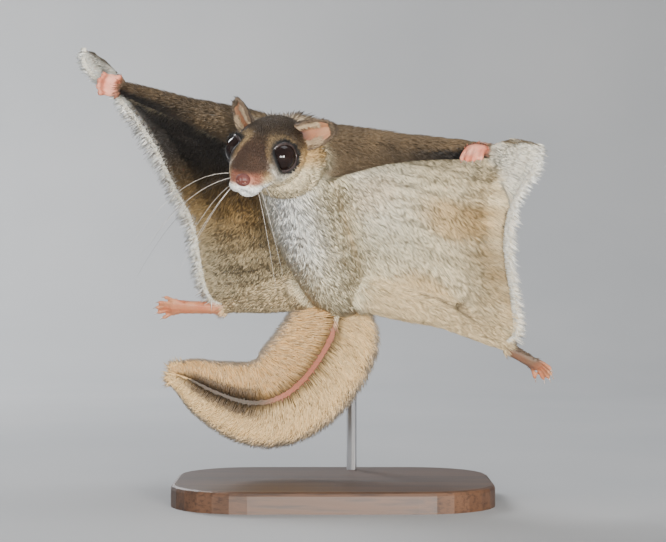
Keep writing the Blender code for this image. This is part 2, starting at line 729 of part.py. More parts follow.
def stand_base():
    """A low wooden base with rounded corners and a hole for the rod."""
    length, width, height = BASE_SIZE
    bpy.ops.mesh.primitive_cube_add(size=1, location=(0, 0, height / 2 * MM))
    base = bpy.context.object
    base.scale = (length * MM, width * MM, height * MM)
    bpy.ops.object.transform_apply(location=True, rotation=True, scale=True)
    shell = bmesh.new()
    shell.from_mesh(base.data)
    uprights = [edge for edge in shell.edges
                if abs(edge.verts[0].co.z - edge.verts[1].co.z) > 0.5 * height * MM]
    bmesh.ops.bevel(shell, geom=uprights, offset=BASE_CORNER * MM, offset_type="OFFSET", affect="EDGES",
                    segments=7, profile=0.5, material=-1)
    top = [edge for edge in shell.edges if all(vertex.co.z > 0.9 * height * MM for vertex in edge.verts)]
    bmesh.ops.bevel(shell, geom=top, offset=BASE_BEVEL * MM, offset_type="OFFSET", affect="EDGES",
                    segments=2, profile=0.5, material=-1)
    shell.to_mesh(base.data)
    shell.free()
    return base


def stand_rod(extra=0):
    """A steel rod that rises behind the tail and bends forward into the rump."""
    spline_data = bpy.data.curves.new("stand_rod", "CURVE")
    spline_data.dimensions = "3D"
    spline_data.bevel_depth = (ROD_DIAMETER / 2 + extra) * MM
    spline_data.bevel_resolution = 2
    spline_data.use_fill_caps = True
    places = smooth_rows(ROD_PATH, 16)
    places[0] -= unit(places[1] - places[0]) * extra
    places[-1] += unit(places[-1] - places[-2]) * extra
    spline = spline_data.splines.new("POLY")
    spline.points.add(len(places) - 1)
    for point, place in zip(spline.points, places):
        point.co = (*(place * MM), 1)
    curve = bpy.data.objects.new("rod_curve", spline_data)
    WORKSHOP.objects.link(curve)
    settled = curve.evaluated_get(bpy.context.evaluated_depsgraph_get())
    mesh = bpy.data.meshes.new_from_object(settled)
    rod = bpy.data.objects.new("stand_rod", mesh)
    rod.matrix_world = curve.matrix_world
    WORKSHOP.objects.link(rod)
    bpy.data.objects.remove(curve)
    shell = bmesh.new()
    shell.from_mesh(mesh)
    bmesh.ops.remove_doubles(shell, verts=shell.verts, dist=0.00001)
    bmesh.ops.recalc_face_normals(shell, faces=shell.faces)
    shell.to_mesh(mesh)
    shell.free()
    return rod


def build():
    rod = stand_rod()
    base = combine(stand_base(), "DIFFERENCE", [stand_rod(GAP)])

    core = body_core()
    tail_base = combine(tail(), "DIFFERENCE", [
        *body_forms(GAP), limb("clearance", LEG["left"], GAP), limb("clearance", LEG["right"], GAP),
    ])
    for side in ("left", "right"):
        outward = 1 if side == "left" else -1
        arm_clearance = [limb("clearance", ARM[side], GAP)]
        leg_clearance = [limb("clearance", LEG[side], GAP)]
        palm = combine(hand(side), "DIFFERENCE", arm_clearance)
        sole = combine(foot(side), "DIFFERENCE", leg_clearance)
        skin = combine(membrane(side), "DIFFERENCE", [
            *body_forms(GAP), limb("clearance", ARM[side], GAP), limb("clearance", LEG[side], GAP),
            tail_envelope(GAP), wrapped(palm), wrapped(sole),
        ])
        arm = combine(limb("upper_arm_" + side, ARM[side]), "DIFFERENCE", body_forms(GAP))
        leg = combine(limb("thigh_" + side, LEG[side]), "DIFFERENCE", body_forms(GAP))
        shell = combine(ear(side), "DIFFERENCE", body_forms(GAP) + [limb("clearance", ARM[side], GAP)])

        wrist = trunk_frame.at(*ARM[side][-1][:3])
        tip = part(skin, wrist, trunk_frame.direction(*WING_TIP_SIDE[side]), "wing_tip_" + side)
        elbow, knee = ARM[side][ELBOW][:3], LEG[side][KNEE][:3]
        forearm = part(arm, trunk_frame.at(*elbow), trunk_frame.direction(0, outward, 0), "forearm_" + side)
        shank = part(leg, trunk_frame.at(*knee), trunk_frame.direction(-0.5, outward, 0), "shank_" + side)

        finish(arm, "upper_arm_" + side, FUR_BACK)
        finish(forearm, "forearm_" + side, FUR_BACK)
        finish(palm, "hand_" + side, SKIN_PINK)
        finish(leg, "thigh_" + side, FUR_BELLY)
        finish(shank, "shank_" + side, FUR_BELLY)
        finish(sole, "foot_" + side, SKIN_PINK)
        finish(skin, "patagium_" + side, FUR_BELLY)
        finish(tip, "wing_tip_" + side, FUR_BELLY)
        finish(shell, "ear_" + side, SKIN_PINK)

    neck = part(core, trunk_frame.at(*NECK_PLANE[0]), trunk_frame.direction(*NECK_PLANE[1]), "neck")
    head = part(neck, trunk_frame.at(*HEAD_PLANE[0]), trunk_frame.direction(*HEAD_PLANE[1]), "head")
    combine(core, "DIFFERENCE", [stand_rod(GAP)])
    combine(head, "DIFFERENCE", [eye(side, GAP) for side in ("left", "right")])
    carve_face(head)
    for side in ("left", "right"):
        finish(eye(side), "eye_" + side, EYE_BLACK, 0.1)
    finish(core, "torso", FUR_BELLY)
    finish(neck, "neck", FUR_BACK)
    finish(head, "head", FUR_BACK)

    for length, name in zip(part_tail(tail_base), ("tail_base", "tail_middle", "tail_tip")):
        finish(length, name, FUR_TAIL)
    finish(base, "stand_base", WALNUT, 0.4, smooth=False)
    finish(rod, "stand_rod", STEEL, 0.3, 1.0)


for old in list(bpy.data.objects):
    bpy.data.objects.remove(old)
NODES = new_collection("flying_squirrel")
WORKSHOP = new_collection("workshop")
WORKSHOP.hide_render = True
trunk_frame = Frame(TRUNK_CENTRE, *TRUNK_TURN)
head_frame = Frame(HEAD_CENTRE, *HEAD_TURN)
build()
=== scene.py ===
"""The looks of the gliding flying squirrel and its display stand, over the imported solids.

Sizes and places are in millimetres until a mesh is written. Left is the animal's left, and it
faces -Y. The trunk's own axes are forward, left and up, and so are the head's.
"""

import math

import bmesh
import bpy
import numpy as np
from mathutils import Matrix, Vector
from mathutils.bvhtree import BVHTree
from mathutils.kdtree import KDTree


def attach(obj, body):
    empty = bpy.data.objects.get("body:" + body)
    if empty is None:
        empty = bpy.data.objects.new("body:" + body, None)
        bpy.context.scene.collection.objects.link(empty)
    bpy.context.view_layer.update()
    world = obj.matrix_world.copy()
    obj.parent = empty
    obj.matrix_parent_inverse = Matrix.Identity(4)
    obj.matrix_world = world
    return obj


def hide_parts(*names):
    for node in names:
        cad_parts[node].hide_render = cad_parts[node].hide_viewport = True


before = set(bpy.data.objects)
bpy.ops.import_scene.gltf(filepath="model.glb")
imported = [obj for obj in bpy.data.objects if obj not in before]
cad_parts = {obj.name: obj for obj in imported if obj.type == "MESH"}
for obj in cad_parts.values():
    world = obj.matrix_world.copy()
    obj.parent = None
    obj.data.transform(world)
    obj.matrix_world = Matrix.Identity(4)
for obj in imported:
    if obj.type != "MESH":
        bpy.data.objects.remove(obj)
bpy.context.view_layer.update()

MM = 0.001
SIDES = ("left", "right")
SIGN = {"left": 1, "right": -1}

# Where the trunk and the head are, and how they turn, as in the solids. The eyes sit a little nearer the
# middle than the solids' do.
TRUNK_CENTRE = (-4.3, -9.5, 109.4)
TRUNK_TURN = (15, 46.5, -8)
HEAD_CENTRE = (-18.8, -45.4, 134.5)
HEAD_TURN = (19, -17, -10)
SHOULDER = {"left": (34.0, 6.0, -2.0), "right": (34.0, -9.0, 0.5)}
WRIST = {"left": (38.6, 68.5, 0.2), "right": (54.4, -69.7, 1.6)}
HIP = {"left": (-37.5, 10.0, -0.3), "right": (-38.4, -8.0, 1.8)}
ANKLE = {"left": (-58.9, 65.7, -2.1), "right": (-55.7, -52.4, -1.6)}
HAND_TURN = {
    "left": ((-0.42, -0.90, 0.06), (0.02, 0.05, 0.99)),
    "right": ((-0.93, -0.33, 0.16), (-0.28, 0.90, 0.14)),
}
HAND_CURL = {"left": 1.0, "right": 0.85}
FOOT_TURN = {
    "left": ((0.83, 0.32, -0.45), (0.30, 0.55, 0.78)),
    "right": ((-0.985, -0.15, 0.04), (-0.10, 0.80, 0.59)),
}
FOOT_CURL = {"left": 0.42, "right": 0.16}
PALM_LENGTH = 6.5
SOLE_LENGTH = {"left": 22.0 * 0.72, "right": 22.0}
EYE_PLACE = (22.0, 7.9, 1.4)
EYE_RADIUS = 5.1
EYE_TURN = 45
EYE_TILT = 10
LID_RADIUS = 4.75
# The swell of the brow between the eye and the bridge of the nose, which half hides the far eye
BROW_PLACE = (26.8, 4.9, 1.6)
BROW_SWELL = {"left": 0.5, "right": 1.9}
EAR_ROOT = (9.0, 10.5, 6.0)
EAR_ALONG = {"left": (-0.30, 0.88, 0.30), "right": (-0.45, -0.64, 0.62)}
EAR_OPENING = {"left": (0.92, 0.30, -0.10), "right": (0.78, -0.62, -0.10)}
EAR_LENGTH = 13.0
EAR_HALF_WIDTH = 5.0
NOSE_PLACE = (38.5, 0.0, -4.0)
# The free edge of each membrane, from the wing tip to the ankle
MEMBRANE_EDGE = {
    "left": [
        (29.2, 85.1, 16.8), (25.2, 85.0, 14.2), (20.7, 83.9, 12.1), (11.1, 78.1, 11.4), (-0.2, 73.0, 9.5),
        (-16.7, 69.9, 7.8), (-39.8, 70.6, 4.6), (-54.3, 70.8, 0.7), (-58.9, 65.7, -2.1),
    ],
    "right": [
        (59.7, -93.0, 17.1), (56.4, -92.0, 12.8), (53.0, -87.4, 8.9), (49.3, -80.6, 5.7), (45.4, -75.6, 4.4),
        (27.2, -67.1, 2.9), (7.9, -62.4, 1.1), (-12.7, -58.7, 0.5), (-33.9, -59.0, -3.0),
        (-47.7, -58.3, -3.8), (-55.7, -52.4, -1.6),
    ],
}
# The tail's middle line with half its width across the hair
TAIL = [
    (2.4, 24.0, 74.9, 11.5), (1.2, 23.0, 67.8, 18.2), (-2.0, 21.0, 59.1, 20.3), (-7.9, 18.0, 49.8, 20.6),
    (-16.1, 14.0, 41.4, 20.0), (-25.4, 11.0, 37.2, 18.8), (-35.0, 8.5, 37.4, 16.2), (-46.2, 7.0, 41.4, 12.8),
    (-55.4, 5.5, 46.1, 8.8), (-63.1, 4.0, 48.9, 4.0),
]

# Colours, as light that the coat gives back
CREAM = (0.82, 0.75, 0.58)
WHITE = (0.92, 0.92, 0.89)
BELLY_GREY = (0.50, 0.46, 0.35)
BUFF = (0.62, 0.42, 0.19)
OLIVE = (0.20, 0.155, 0.075)
BROWN = (0.115, 0.088, 0.058)
CROWN = (0.100, 0.070, 0.042)
FLECK = (0.25, 0.190, 0.120)
# Near black: the dark ring round each eye, and also painted shade on the undersides of the arms
EYE_RING_AND_SHADE = (0.010, 0.008, 0.007)
TAIL_TAN = (0.70, 0.47, 0.22)
TAIL_TIP = (0.85, 0.70, 0.45)
CHEEK = (0.68, 0.51, 0.29)
PINK = (0.62, 0.25, 0.16)


class Frame:
    """Axes forward, left and up about a centre."""

    def __init__(self, centre, heading, climb, bank):
        heading, climb, bank = (math.radians(angle) for angle in (heading, climb, bank))
        self.centre = np.array(centre, float)
        self.forward = np.array((
            -math.sin(heading) * math.cos(climb),
            -math.cos(heading) * math.cos(climb),
            math.sin(climb),
        ))
        level = np.array((math.cos(heading), -math.sin(heading), 0.0))
        self.left = level * math.cos(bank) + np.cross(self.forward, level) * math.sin(bank)
        self.up = np.cross(self.forward, self.left)

    def direction(self, forward, left, up):
        return forward * self.forward + left * self.left + up * self.up

    def at(self, forward, left, up):
        return self.centre + self.direction(forward, left, up)

    def places(self, points):
        """Rows of world places told as forward, left and up."""
        return (points - self.centre) @ np.array((self.forward, self.left, self.up)).T


class LimbFrame(Frame):
    """Axes about a wrist or ankle: forward to the tips, up out of the back of the hand or foot."""

    def __init__(self, centre, forward, up):
        self.centre = np.array(centre, float)
        self.forward = unit(forward)
        self.left = unit(np.cross(up, self.forward))
        self.up = np.cross(self.forward, self.left)


def unit(vectors):
    vectors = np.asarray(vectors, float)
    return vectors / np.maximum(np.linalg.norm(vectors, axis=-1, keepdims=True), 1e-9)


def step(low, high, values):
    """A smooth rise from 0 at low to 1 at high, or a fall where high is the lesser."""
    share = np.clip((values - low) / (high - low), 0, 1)
    return share * share * (3 - 2 * share)


def mix(first, second, share):
    """Colours or directions blended row by row."""
    share = np.asarray(share)[..., None]
    return np.asarray(first) * (1 - share) + np.asarray(second) * share


def smooth_rows(rows, samples):
    """Rows of numbers read at even steps along a smooth curve through the rows given."""
    rows = np.asarray(rows, float)
    padded = np.vstack((2 * rows[0] - rows[1], rows, 2 * rows[-1] - rows[-2]))
    result = []
    for place in np.linspace(0, len(rows) - 1, samples):
        index = min(int(place), len(rows) - 2)
        t = place - index
        a, b, c, d = padded[index:index + 4]
        bend = (2 * a - 5 * b + 4 * c - d) * t ** 2 + (3 * b - a - 3 * c + d) * t ** 3
        result.append(0.5 * (2 * b + (c - a) * t + bend))
    return np.array(result)


def rich(colour):
    """A colour laid on deeper, as the view pales it."""
    return np.clip(colour, 0, 1) ** 1.5


def ripple(points, size, turn=0.0):
    """A soft wandering value between -1 and 1 that changes over about the given size."""
    x, y, z = (points / size).T
    return (np.sin(x * 1.7 + 1.3 * np.sin(y * 1.1 + turn) + turn * 2.1)
            + np.sin(y * 2.1 + 1.1 * np.sin(z * 1.3 - turn) + turn * 1.7)
            + np.sin(z * 1.9 + 1.2 * np.sin(x * 1.2 + turn) - turn)) / 3


trunk = Frame(TRUNK_CENTRE, *TRUNK_TURN)
head = Frame(HEAD_CENTRE, *HEAD_TURN)
hands = {side: LimbFrame(trunk.at(*WRIST[side]), *HAND_TURN[side]) for side in SIDES}
feet = {side: LimbFrame(trunk.at(*ANKLE[side]), *FOOT_TURN[side]) for side in SIDES}
tail_rows = smooth_rows(TAIL, 121)
tail_steps = np.linalg.norm(np.diff(tail_rows[:, :3], axis=0), axis=1)
tail_travel = np.concatenate(([0], np.cumsum(tail_steps)))
tail_along = unit(np.gradient(tail_rows[:, :3], axis=0))
tail_side = unit(np.cross((0, -1, 0), tail_along))


def mirrored(place, side):
    forward, left, up = place
    return (forward, left * SIGN[side], up)


def eye_axis(side):
    turn, tilt = math.radians(EYE_TURN), math.radians(EYE_TILT)
    along = (math.cos(turn) * math.cos(tilt), math.sin(turn) * math.cos(tilt), math.sin(tilt))
    return head.direction(*mirrored(along, side))


# Shader maths and finishes

class Number:
    """A value socket. Sums on it add Math nodes."""

    def __init__(self, paint, socket):
        self.paint = paint
        self.socket = socket

    def maths(self, operation, *values):
        sockets = {index: value for index, value in enumerate(values)}
        return Number(self.paint, self.paint.node("ShaderNodeMath", {"operation": operation}, sockets))

    def __add__(self, other):
        return self.maths("ADD", self, other)

    def __radd__(self, other):
        return self.maths("ADD", other, self)

    def __sub__(self, other):
        return self.maths("SUBTRACT", self, other)

    def __rsub__(self, other):
        return self.maths("SUBTRACT", other, self)

    def __mul__(self, other):
        return self.maths("MULTIPLY", self, other)

    def __rmul__(self, other):
        return self.maths("MULTIPLY", other, self)

    def __pow__(self, other):
        return self.maths("POWER", self, other)


class Finish:
    """A material: a Principled shader with what its pattern feeds."""

    def __init__(self, name, **constants):
        self.material = bpy.data.materials.new(name)
        self.material.use_nodes = True
        self.tree = self.material.node_tree
        self.shader = self.tree.nodes["Principled BSDF"]
        for socket, value in constants.items():
            self.feed(socket.replace("_", " "), value)

    def node(self, kind, settings=None, sockets=None, output=0):
        made = self.tree.nodes.new(kind)
        for setting, value in (settings or {}).items():
            if setting == "stops":
                for place, colour in value[2:]:
                    made.color_ramp.elements.new(place)
                for element, (place, colour) in zip(made.color_ramp.elements, sorted(value)):
                    element.position = place
                    element.color = (*colour, 1)
            else:
                setattr(made, setting, value)
        for socket, value in (sockets or {}).items():
            self.plug(made.inputs[socket], value)
        return made.outputs[output]

    def plug(self, target, value):
        if isinstance(value, Number):
            value = value.socket
        if isinstance(value, bpy.types.NodeSocket):
            self.tree.links.new(value, target)
        elif isinstance(value, (tuple, list)) and target.type == "RGBA":
            target.default_value = (*value[:3], 1)
        else:
            target.default_value = value

    def feed(self, socket, value):
        self.plug(self.shader.inputs[socket], value)

    def number(self, *arguments, **words):
        return Number(self, self.node(*arguments, **words))

    def place(self, scale=(1, 1, 1)):
        """Object coordinates, stretched along the axes."""
        coordinates = self.node("ShaderNodeTexCoord", output="Object")
        return self.node("ShaderNodeMapping", sockets={"Vector": coordinates, "Scale": scale})

    def noise(self, scale, detail=3.0, roughness=0.5, stretch=(1, 1, 1), distortion=0.0):
        return self.number("ShaderNodeTexNoise", sockets={
            "Vector": self.place(stretch), "Scale": scale, "Detail": detail,
            "Roughness": roughness, "Distortion": distortion,
        })

    def colours(self, factor, stops):
        return self.node("ShaderNodeValToRGB", {"stops": stops}, {"Fac": factor})

    def tones(self, factor, dark, light, low=0.3, high=0.75):
        return self.colours(factor, [(low, dark), (high, light)])

    def blend(self, factor, first, second, mode="MIX"):
        settings = {"data_type": "RGBA", "blend_type": mode}
        return self.node("ShaderNodeMix", settings, {0: factor, 6: first, 7: second}, output=2)

    def bump(self, height, strength, distance):
        sockets = {"Height": height, "Strength": strength, "Distance": distance}
        self.feed("Normal", self.node("ShaderNodeBump", sockets=sockets))


def painted(name, attribute, grain=0.12, bump=0.0, **constants):
    """A finish that takes its colour from the piece's own markings, with a fine grain over them."""
    finish = Finish(name, **constants)
    markings = finish.node("ShaderNodeAttribute", {"attribute_name": attribute}, output="Color")
    speckle = finish.noise(900, 4.0, 0.6)
    tone = finish.tones(speckle, (1 - grain,) * 3, (1, 1, 1), high=0.7)
    finish.feed("Base Color", finish.blend(1.0, markings, tone, "MULTIPLY"))
    if bump:
        finish.bump(finish.noise(1400, 3.0), 0.6, bump)
    return finish.material


FUR = painted("fur", "markings", 0.16, Roughness=0.62)
SKIN = painted("skin", "markings", 0.10, bump=0.00025, Roughness=0.58, Subsurface_Weight=0.12,
               Subsurface_Scale=0.002)


def glass_eye():
    finish = Finish("eye_black", Roughness=0.04, IOR=1.34)
    cloud = finish.noise(260, 2.0)
    finish.feed("Base Color", finish.tones(cloud, (0.006, 0.004, 0.004), (0.016, 0.009, 0.007), low=0.35))
    return finish.material


def dark_lid():
    finish = Finish("lid_skin", Roughness=0.34, Coat_Weight=0.25)
    folds = finish.noise(1600, 3.0)
    finish.feed("Base Color", finish.tones(folds, (0.010, 0.007, 0.007), (0.045, 0.028, 0.024)))
    finish.bump(folds, 0.5, 0.0001)
    return finish.material


def claw_horn():
    finish = Finish("claw_horn", Roughness=0.32, Coat_Weight=0.3)
    bands = finish.noise(500, 2.0, stretch=(1, 1, 3))
    finish.feed("Base Color", finish.tones(bands, (0.20, 0.14, 0.11), (0.42, 0.33, 0.27)))
    return finish.material


def whisker_horn(name, dark, light):
    finish = Finish(name, Roughness=0.35)
    finish.feed("Base Color", finish.tones(finish.noise(120, 1.0), dark, light, high=0.7))
    return finish.material


def wet_nose():
    finish = Finish("nose_skin", Roughness=0.52, Subsurface_Weight=0.1, Subsurface_Scale=0.001)
    pebbles = finish.noise(2600, 2.0)
    finish.feed("Base Color", finish.tones(pebbles, (0.075, 0.022, 0.017), (0.135, 0.04, 0.03)))
    finish.bump(pebbles, 0.5, 0.00012)
    return finish.material


def oiled_walnut():
    finish = Finish("oiled_walnut", Coat_Weight=0.08, Coat_Roughness=0.35)
    warp = finish.noise(14, 3.0, 0.6, (0.25, 1, 1))
    rings = finish.noise(60, 6.0, 0.62, (0.06, 1.0, 0.6), 0.8)
    grain = rings * 0.7 + warp * 0.3
    pores = finish.noise(900, 4.0, 0.7, (0.05, 1, 1))
    wood = finish.colours(grain, [
        (0.30, (0.030, 0.014, 0.008)), (0.72, (0.135, 0.062, 0.030)), (0.45, (0.060, 0.028, 0.014)),
        (0.55, (0.095, 0.044, 0.021)),
    ])
    darker = finish.tones(pores, (0.45, 0.42, 0.40), (1, 1, 1), 0.36, 0.52)
    finish.feed("Base Color", finish.blend(1.0, wood, darker, "MULTIPLY"))
    finish.feed("Roughness", 0.46 + pores * 0.16)
    finish.bump(pores, 0.35, 0.00012)
    return finish.material


def brushed_steel():
    finish = Finish("brushed_steel", Metallic=1.0)
    strokes = finish.noise(500, 4.0, 0.6, (1, 1, 0.04))
    finish.feed("Base Color", finish.tones(strokes, (0.40, 0.40, 0.41), (0.62, 0.62, 0.63), high=0.7))
    finish.feed("Roughness", 0.22 + strokes * 0.2)
    finish.bump(strokes, 0.2, 0.00005)
    return finish.material


EYE_GLASS = glass_eye()
LID_SKIN = dark_lid()
NOSE_SKIN = wet_nose()
CLAW_HORN = claw_horn()
WHISKER_DARK = whisker_horn("whisker_dark", (0.02, 0.016, 0.014), (0.07, 0.055, 0.045))
WHISKER_PALE = whisker_horn("whisker_pale", (0.42, 0.38, 0.33), (0.70, 0.66, 0.60))


# Pieces

def new_piece(name, mesh, material, slot, *nodes):
    """A finished piece that rides on the model and stands for its nodes."""
    piece = bpy.data.objects.new(name, mesh)
    bpy.context.scene.collection.objects.link(piece)
    mesh.materials.clear()
    mesh.materials.append(material)
    mesh.shade_smooth()
    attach(piece, "root")
    if nodes:
        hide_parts(*nodes)
    return piece


def shell_mesh(name, shell):
    """The mesh of a shell in millimetres, with its normals turned out."""
    bmesh.ops.recalc_face_normals(shell, faces=shell.faces)
    mesh = bpy.data.meshes.new(name)
    shell.to_mesh(mesh)
    shell.free()
    mesh.transform(Matrix.Scale(MM, 4))
    return mesh


def tube(shell, places, sizes, sides=6, above=(0, 0, 1)):
    """Adds a closed round tube through places to a shell, with a half width and half height at each."""
    places = np.asarray(places, float)
    along = unit(np.gradient(places, axis=0))
    loops = []
    for place, direction, (width, height) in zip(places, along, sizes):
        side = unit(np.cross(above, direction))
        over = np.cross(direction, side)
        turn = Matrix((*zip(side * width, over * height, direction),)).to_4x4()
        turn = Matrix.Translation(place) @ turn
        ring = bmesh.ops.create_circle(shell, segments=sides, radius=1, matrix=turn)
        edges = {edge for vertex in ring["verts"] for edge in vertex.link_edges}
        loops.append(sorted(edges, key=lambda edge: edge.index))
    for near, far in zip(loops, loops[1:]):
        bmesh.ops.bridge_loops(shell, edges=near + far)
    for loop in (loops[0], loops[-1]):
        bmesh.ops.contextual_create(shell, geom=loop)


def ball(shell, centre, radii, axes, segments=24, rings=16):
    """Adds a ball stretched along a frame's axes to a shell."""
    columns = (axes.forward * radii[0], axes.left * radii[1], axes.up * radii[2])
    turn = Matrix.Translation(centre) @ Matrix((*zip(*columns),)).to_4x4()
    bmesh.ops.create_uvsphere(shell, u_segments=segments, v_segments=rings, radius=1, matrix=turn)


# The skin

def read(items, attribute, width, kind=np.float32):
    values = np.empty(len(items) * width, kind)
    items.foreach_get(attribute, values)
    return values.reshape(-1, width) if width > 1 else values


class Surface:
    """A closed skin's corners, triangles and outward directions, in millimetres."""

    def __init__(self, mesh):
        mesh.calc_loop_triangles()
        self.points = read(mesh.vertices, "co", 3).astype(float) / MM
        self.triangles = read(mesh.loop_triangles, "vertices", 3, np.int32)
        self.edges = read(mesh.edges, "vertices", 2, np.int32)
        ends = self.edges.ravel()
        self.neighbours = np.maximum(np.bincount(ends, minlength=len(self.points)), 1)
        self.turn_out()

    def turn_out(self):
        a, b, c = (self.points[self.triangles[:, corner]] for corner in range(3))
        self.facing = np.cross(b - a, c - a)
        total = np.zeros_like(self.points)
        for corner in range(3):
            for axis in range(3):
                total[:, axis] += np.bincount(self.triangles[:, corner], self.facing[:, axis], len(total))
        self.normals = unit(total)

    def average(self, values):
        """The mean of each corner's neighbours."""
        columns = values.reshape(len(values), -1)
        result = np.empty_like(columns)
        first, second = self.edges.T
        for index, column in enumerate(columns.T):
            total = np.bincount(first, column[second], len(values))
            total = total + np.bincount(second, column[first], len(values))
            result[:, index] = total / self.neighbours
        return result.reshape(values.shape)

    def soften(self, values, rounds, share=0.5):
        share = np.asarray(share, float)
        if share.ndim and values.ndim > 1:
            share = share[:, None]
        for _ in range(rounds):
            values = values + share * (self.average(values) - values)
        return values


PAIRED_PARTS = [
    ("ear", "head"), ("upper_arm", "arm"), ("forearm", "arm"), ("hand", "hand"), ("thigh", "leg"),
    ("shank", "leg"), ("foot", "foot"), ("patagium", "wing"), ("wing_tip", "tip"),
]


def parts_of_body():
    """Which part of the coat each solid belongs to."""
    parts = {"head": "head", "neck": "neck", "torso": "torso"}
    for side in SIDES:
        for solid, part in PAIRED_PARTS:
            parts[solid + "_" + side] = part if part == "head" else part + "_" + side
    for length in ("base", "middle", "tip"):
        parts["tail_" + length] = "tail"
    return parts


GROUP_OF = parts_of_body()
GROUPS = sorted(set(GROUP_OF.values()))
# How deep the coat is over each part
COAT_DEPTH = {"head": 1.0, "neck": 2.4, "torso": 2.8, "arm": 1.8, "hand": 0.0, "leg": 1.7, "foot": 0.05,
              "wing": 0.8, "tip": 0.5, "tail": 1.0}
# How loosely the skin hangs: how much the joins of the solids are smoothed away
SLACK = {"head": 0.12, "neck": 0.8, "torso": 0.9, "arm": 0.7, "hand": 0.03, "leg": 0.7, "foot": 0.03,
         "wing": 0.6, "tip": 0.25, "tail": 0.6}
GROWTH = 0.2
VOXEL = 0.42
SKIN_TRIANGLES = 190000
# The tail's core inside its hair: its share of the hair's half width, and its half thickness
CORE_SHARE = 0.46
CORE_HALF_THICKNESS = 3.6
# How deep the membranes' loose folds are
FOLD_DEPTH = 0.26


def kind(group):
    return group.split("_")[0]


def solid_shell(names, growth):
    """The surfaces of solids in one shell in metres, merged at their corners and moved out."""
    shell = bmesh.new()
    for name in names:
        shell.from_mesh(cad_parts[name].data)
    bmesh.ops.remove_doubles(shell, verts=shell.verts, dist=1e-6)
    shell.normal_update()
    for vertex in shell.verts:
        vertex.co += vertex.normal * growth * MM
    return shell


def evaluated(mesh, kind_of, **settings):
    """A mesh after one modifier."""
    holder = bpy.data.objects.new("holder", mesh)
    bpy.context.scene.collection.objects.link(holder)
    modifier = holder.modifiers.new("change", kind_of)
    for setting, value in settings.items():
        setattr(modifier, setting, value)
    depsgraph = bpy.context.evaluated_depsgraph_get()
    result = bpy.data.meshes.new_from_object(holder.evaluated_get(depsgraph))
    bpy.data.objects.remove(holder)
    bpy.data.meshes.remove(mesh)
    return result


def member_shares(points, surface):
    """How far each corner belongs to each part of the body, told by the nearest solid."""
    corners, faces, owners = [], [], []
    for name, group in GROUP_OF.items():
        shell = solid_shell([name], 0)
        start = len(corners)
        corners.extend(vertex.co / MM for vertex in shell.verts)
        faces.extend(tuple(vertex.index + start for vertex in face.verts) for face in shell.faces)
        owners.extend([GROUPS.index(group)] * len(shell.faces))
        shell.free()
    tree = BVHTree.FromPolygons(corners, faces)
    nearest = np.array([owners[tree.find_nearest(Vector(point))[2]] for point in points])
    shares = (nearest[:, None] == np.arange(len(GROUPS))).astype(float)
    return surface.soften(shares, 14)


def by_part(shares, table):
    """A value for each corner from a table of the parts' values."""
    values = np.array([table[kind(group)] for group in GROUPS], float)
    return shares @ values


def raw_skin():
    """One closed skin round the flesh, before it is smoothed and laid under the coat."""
    flesh = [name for name, group in GROUP_OF.items() if group != "tail" and not name.startswith("ear_")]
    shell = solid_shell(flesh, GROWTH)
    mesh = bpy.data.meshes.new("flesh")
    core = bmesh.new()
    rows = smooth_rows(TAIL, 40)
    half = [(width * CORE_SHARE, CORE_HALF_THICKNESS * min(1, width / 10)) for width in rows[:, 3]]
    tube(core, rows[:, :3], half, 20, (0, -1, 0))
    bmesh.ops.recalc_face_normals(core, faces=core.faces)
    core.to_mesh(mesh)
    core.free()
    mesh.transform(Matrix.Scale(MM, 4))
    shell.from_mesh(mesh)
    shell.to_mesh(mesh)
    shell.free()
    return evaluated(mesh, "REMESH", mode="VOXEL", voxel_size=VOXEL * MM)


def shape_skin():
    """The finished skin's mesh and surface, and how far each corner belongs to each part."""
    mesh = raw_skin()
    surface = Surface(mesh)
    shares = member_shares(surface.points, surface)
    head_share = shares[:, GROUPS.index("head")]
    surface.points = surface.soften(surface.points, 2, 0.5)
    surface.points = surface.soften(surface.points, 22, by_part(shares, SLACK) * 0.6)
    surface.turn_out()

    along = trunk.places(surface.points)
    wing = sum(shares[:, GROUPS.index("wing_" + side)] for side in SIDES)
    # Loose skin gathers in long folds that run outwards across the membranes
    sweep = along[:, 0] * 0.90 + np.abs(along[:, 1]) * 0.55
    wander = ripple(surface.points, 22, 0.6)
    folds = np.sin(sweep * 0.33 + wander * 3.6) + 0.5 * np.sin(sweep * 0.71 + wander * 5.1 + 1.2)
    spread = step(12, 30, np.abs(along[:, 1])) * step(0, 0.8, wing)
    surface.points += trunk.up * (FOLD_DEPTH * folds * spread)[:, None]

    depth = by_part(shares, COAT_DEPTH) + GROWTH
    snout = head.places(surface.points)[:, 0]
    depth -= head_share * step(24, 35, snout) * 0.9
    near_eye = np.full(len(depth), 99.0)
    for side in SIDES:
        gap = np.linalg.norm(surface.points - head.at(*mirrored(EYE_PLACE, side)), axis=1)
        near_eye = np.minimum(near_eye, gap)
    depth -= head_share * (1 - step(6.0, 9.0, near_eye)) * 0.8
    for side, swell in BROW_SWELL.items():
        gap = np.linalg.norm(surface.points - head.at(*mirrored(BROW_PLACE, side)), axis=1)
        depth -= head_share * swell * np.exp(-(gap / 3.6) ** 2)
    surface.points -= surface.normals * depth[:, None]
    surface.points = surface.soften(surface.points, 2, by_part(shares, SLACK) * 0.5)

    mesh.vertices.foreach_set("co", (surface.points * MM).astype(np.float32).ravel())
    mesh.update()
    ratio = SKIN_TRIANGLES / len(surface.triangles)
    if ratio < 1:
        mesh = evaluated(mesh, "DECIMATE", ratio=ratio, use_collapse_triangulate=True)
    surface = Surface(mesh)
    return mesh, surface, member_shares(surface.points, surface)


# Markings and lie of the coat

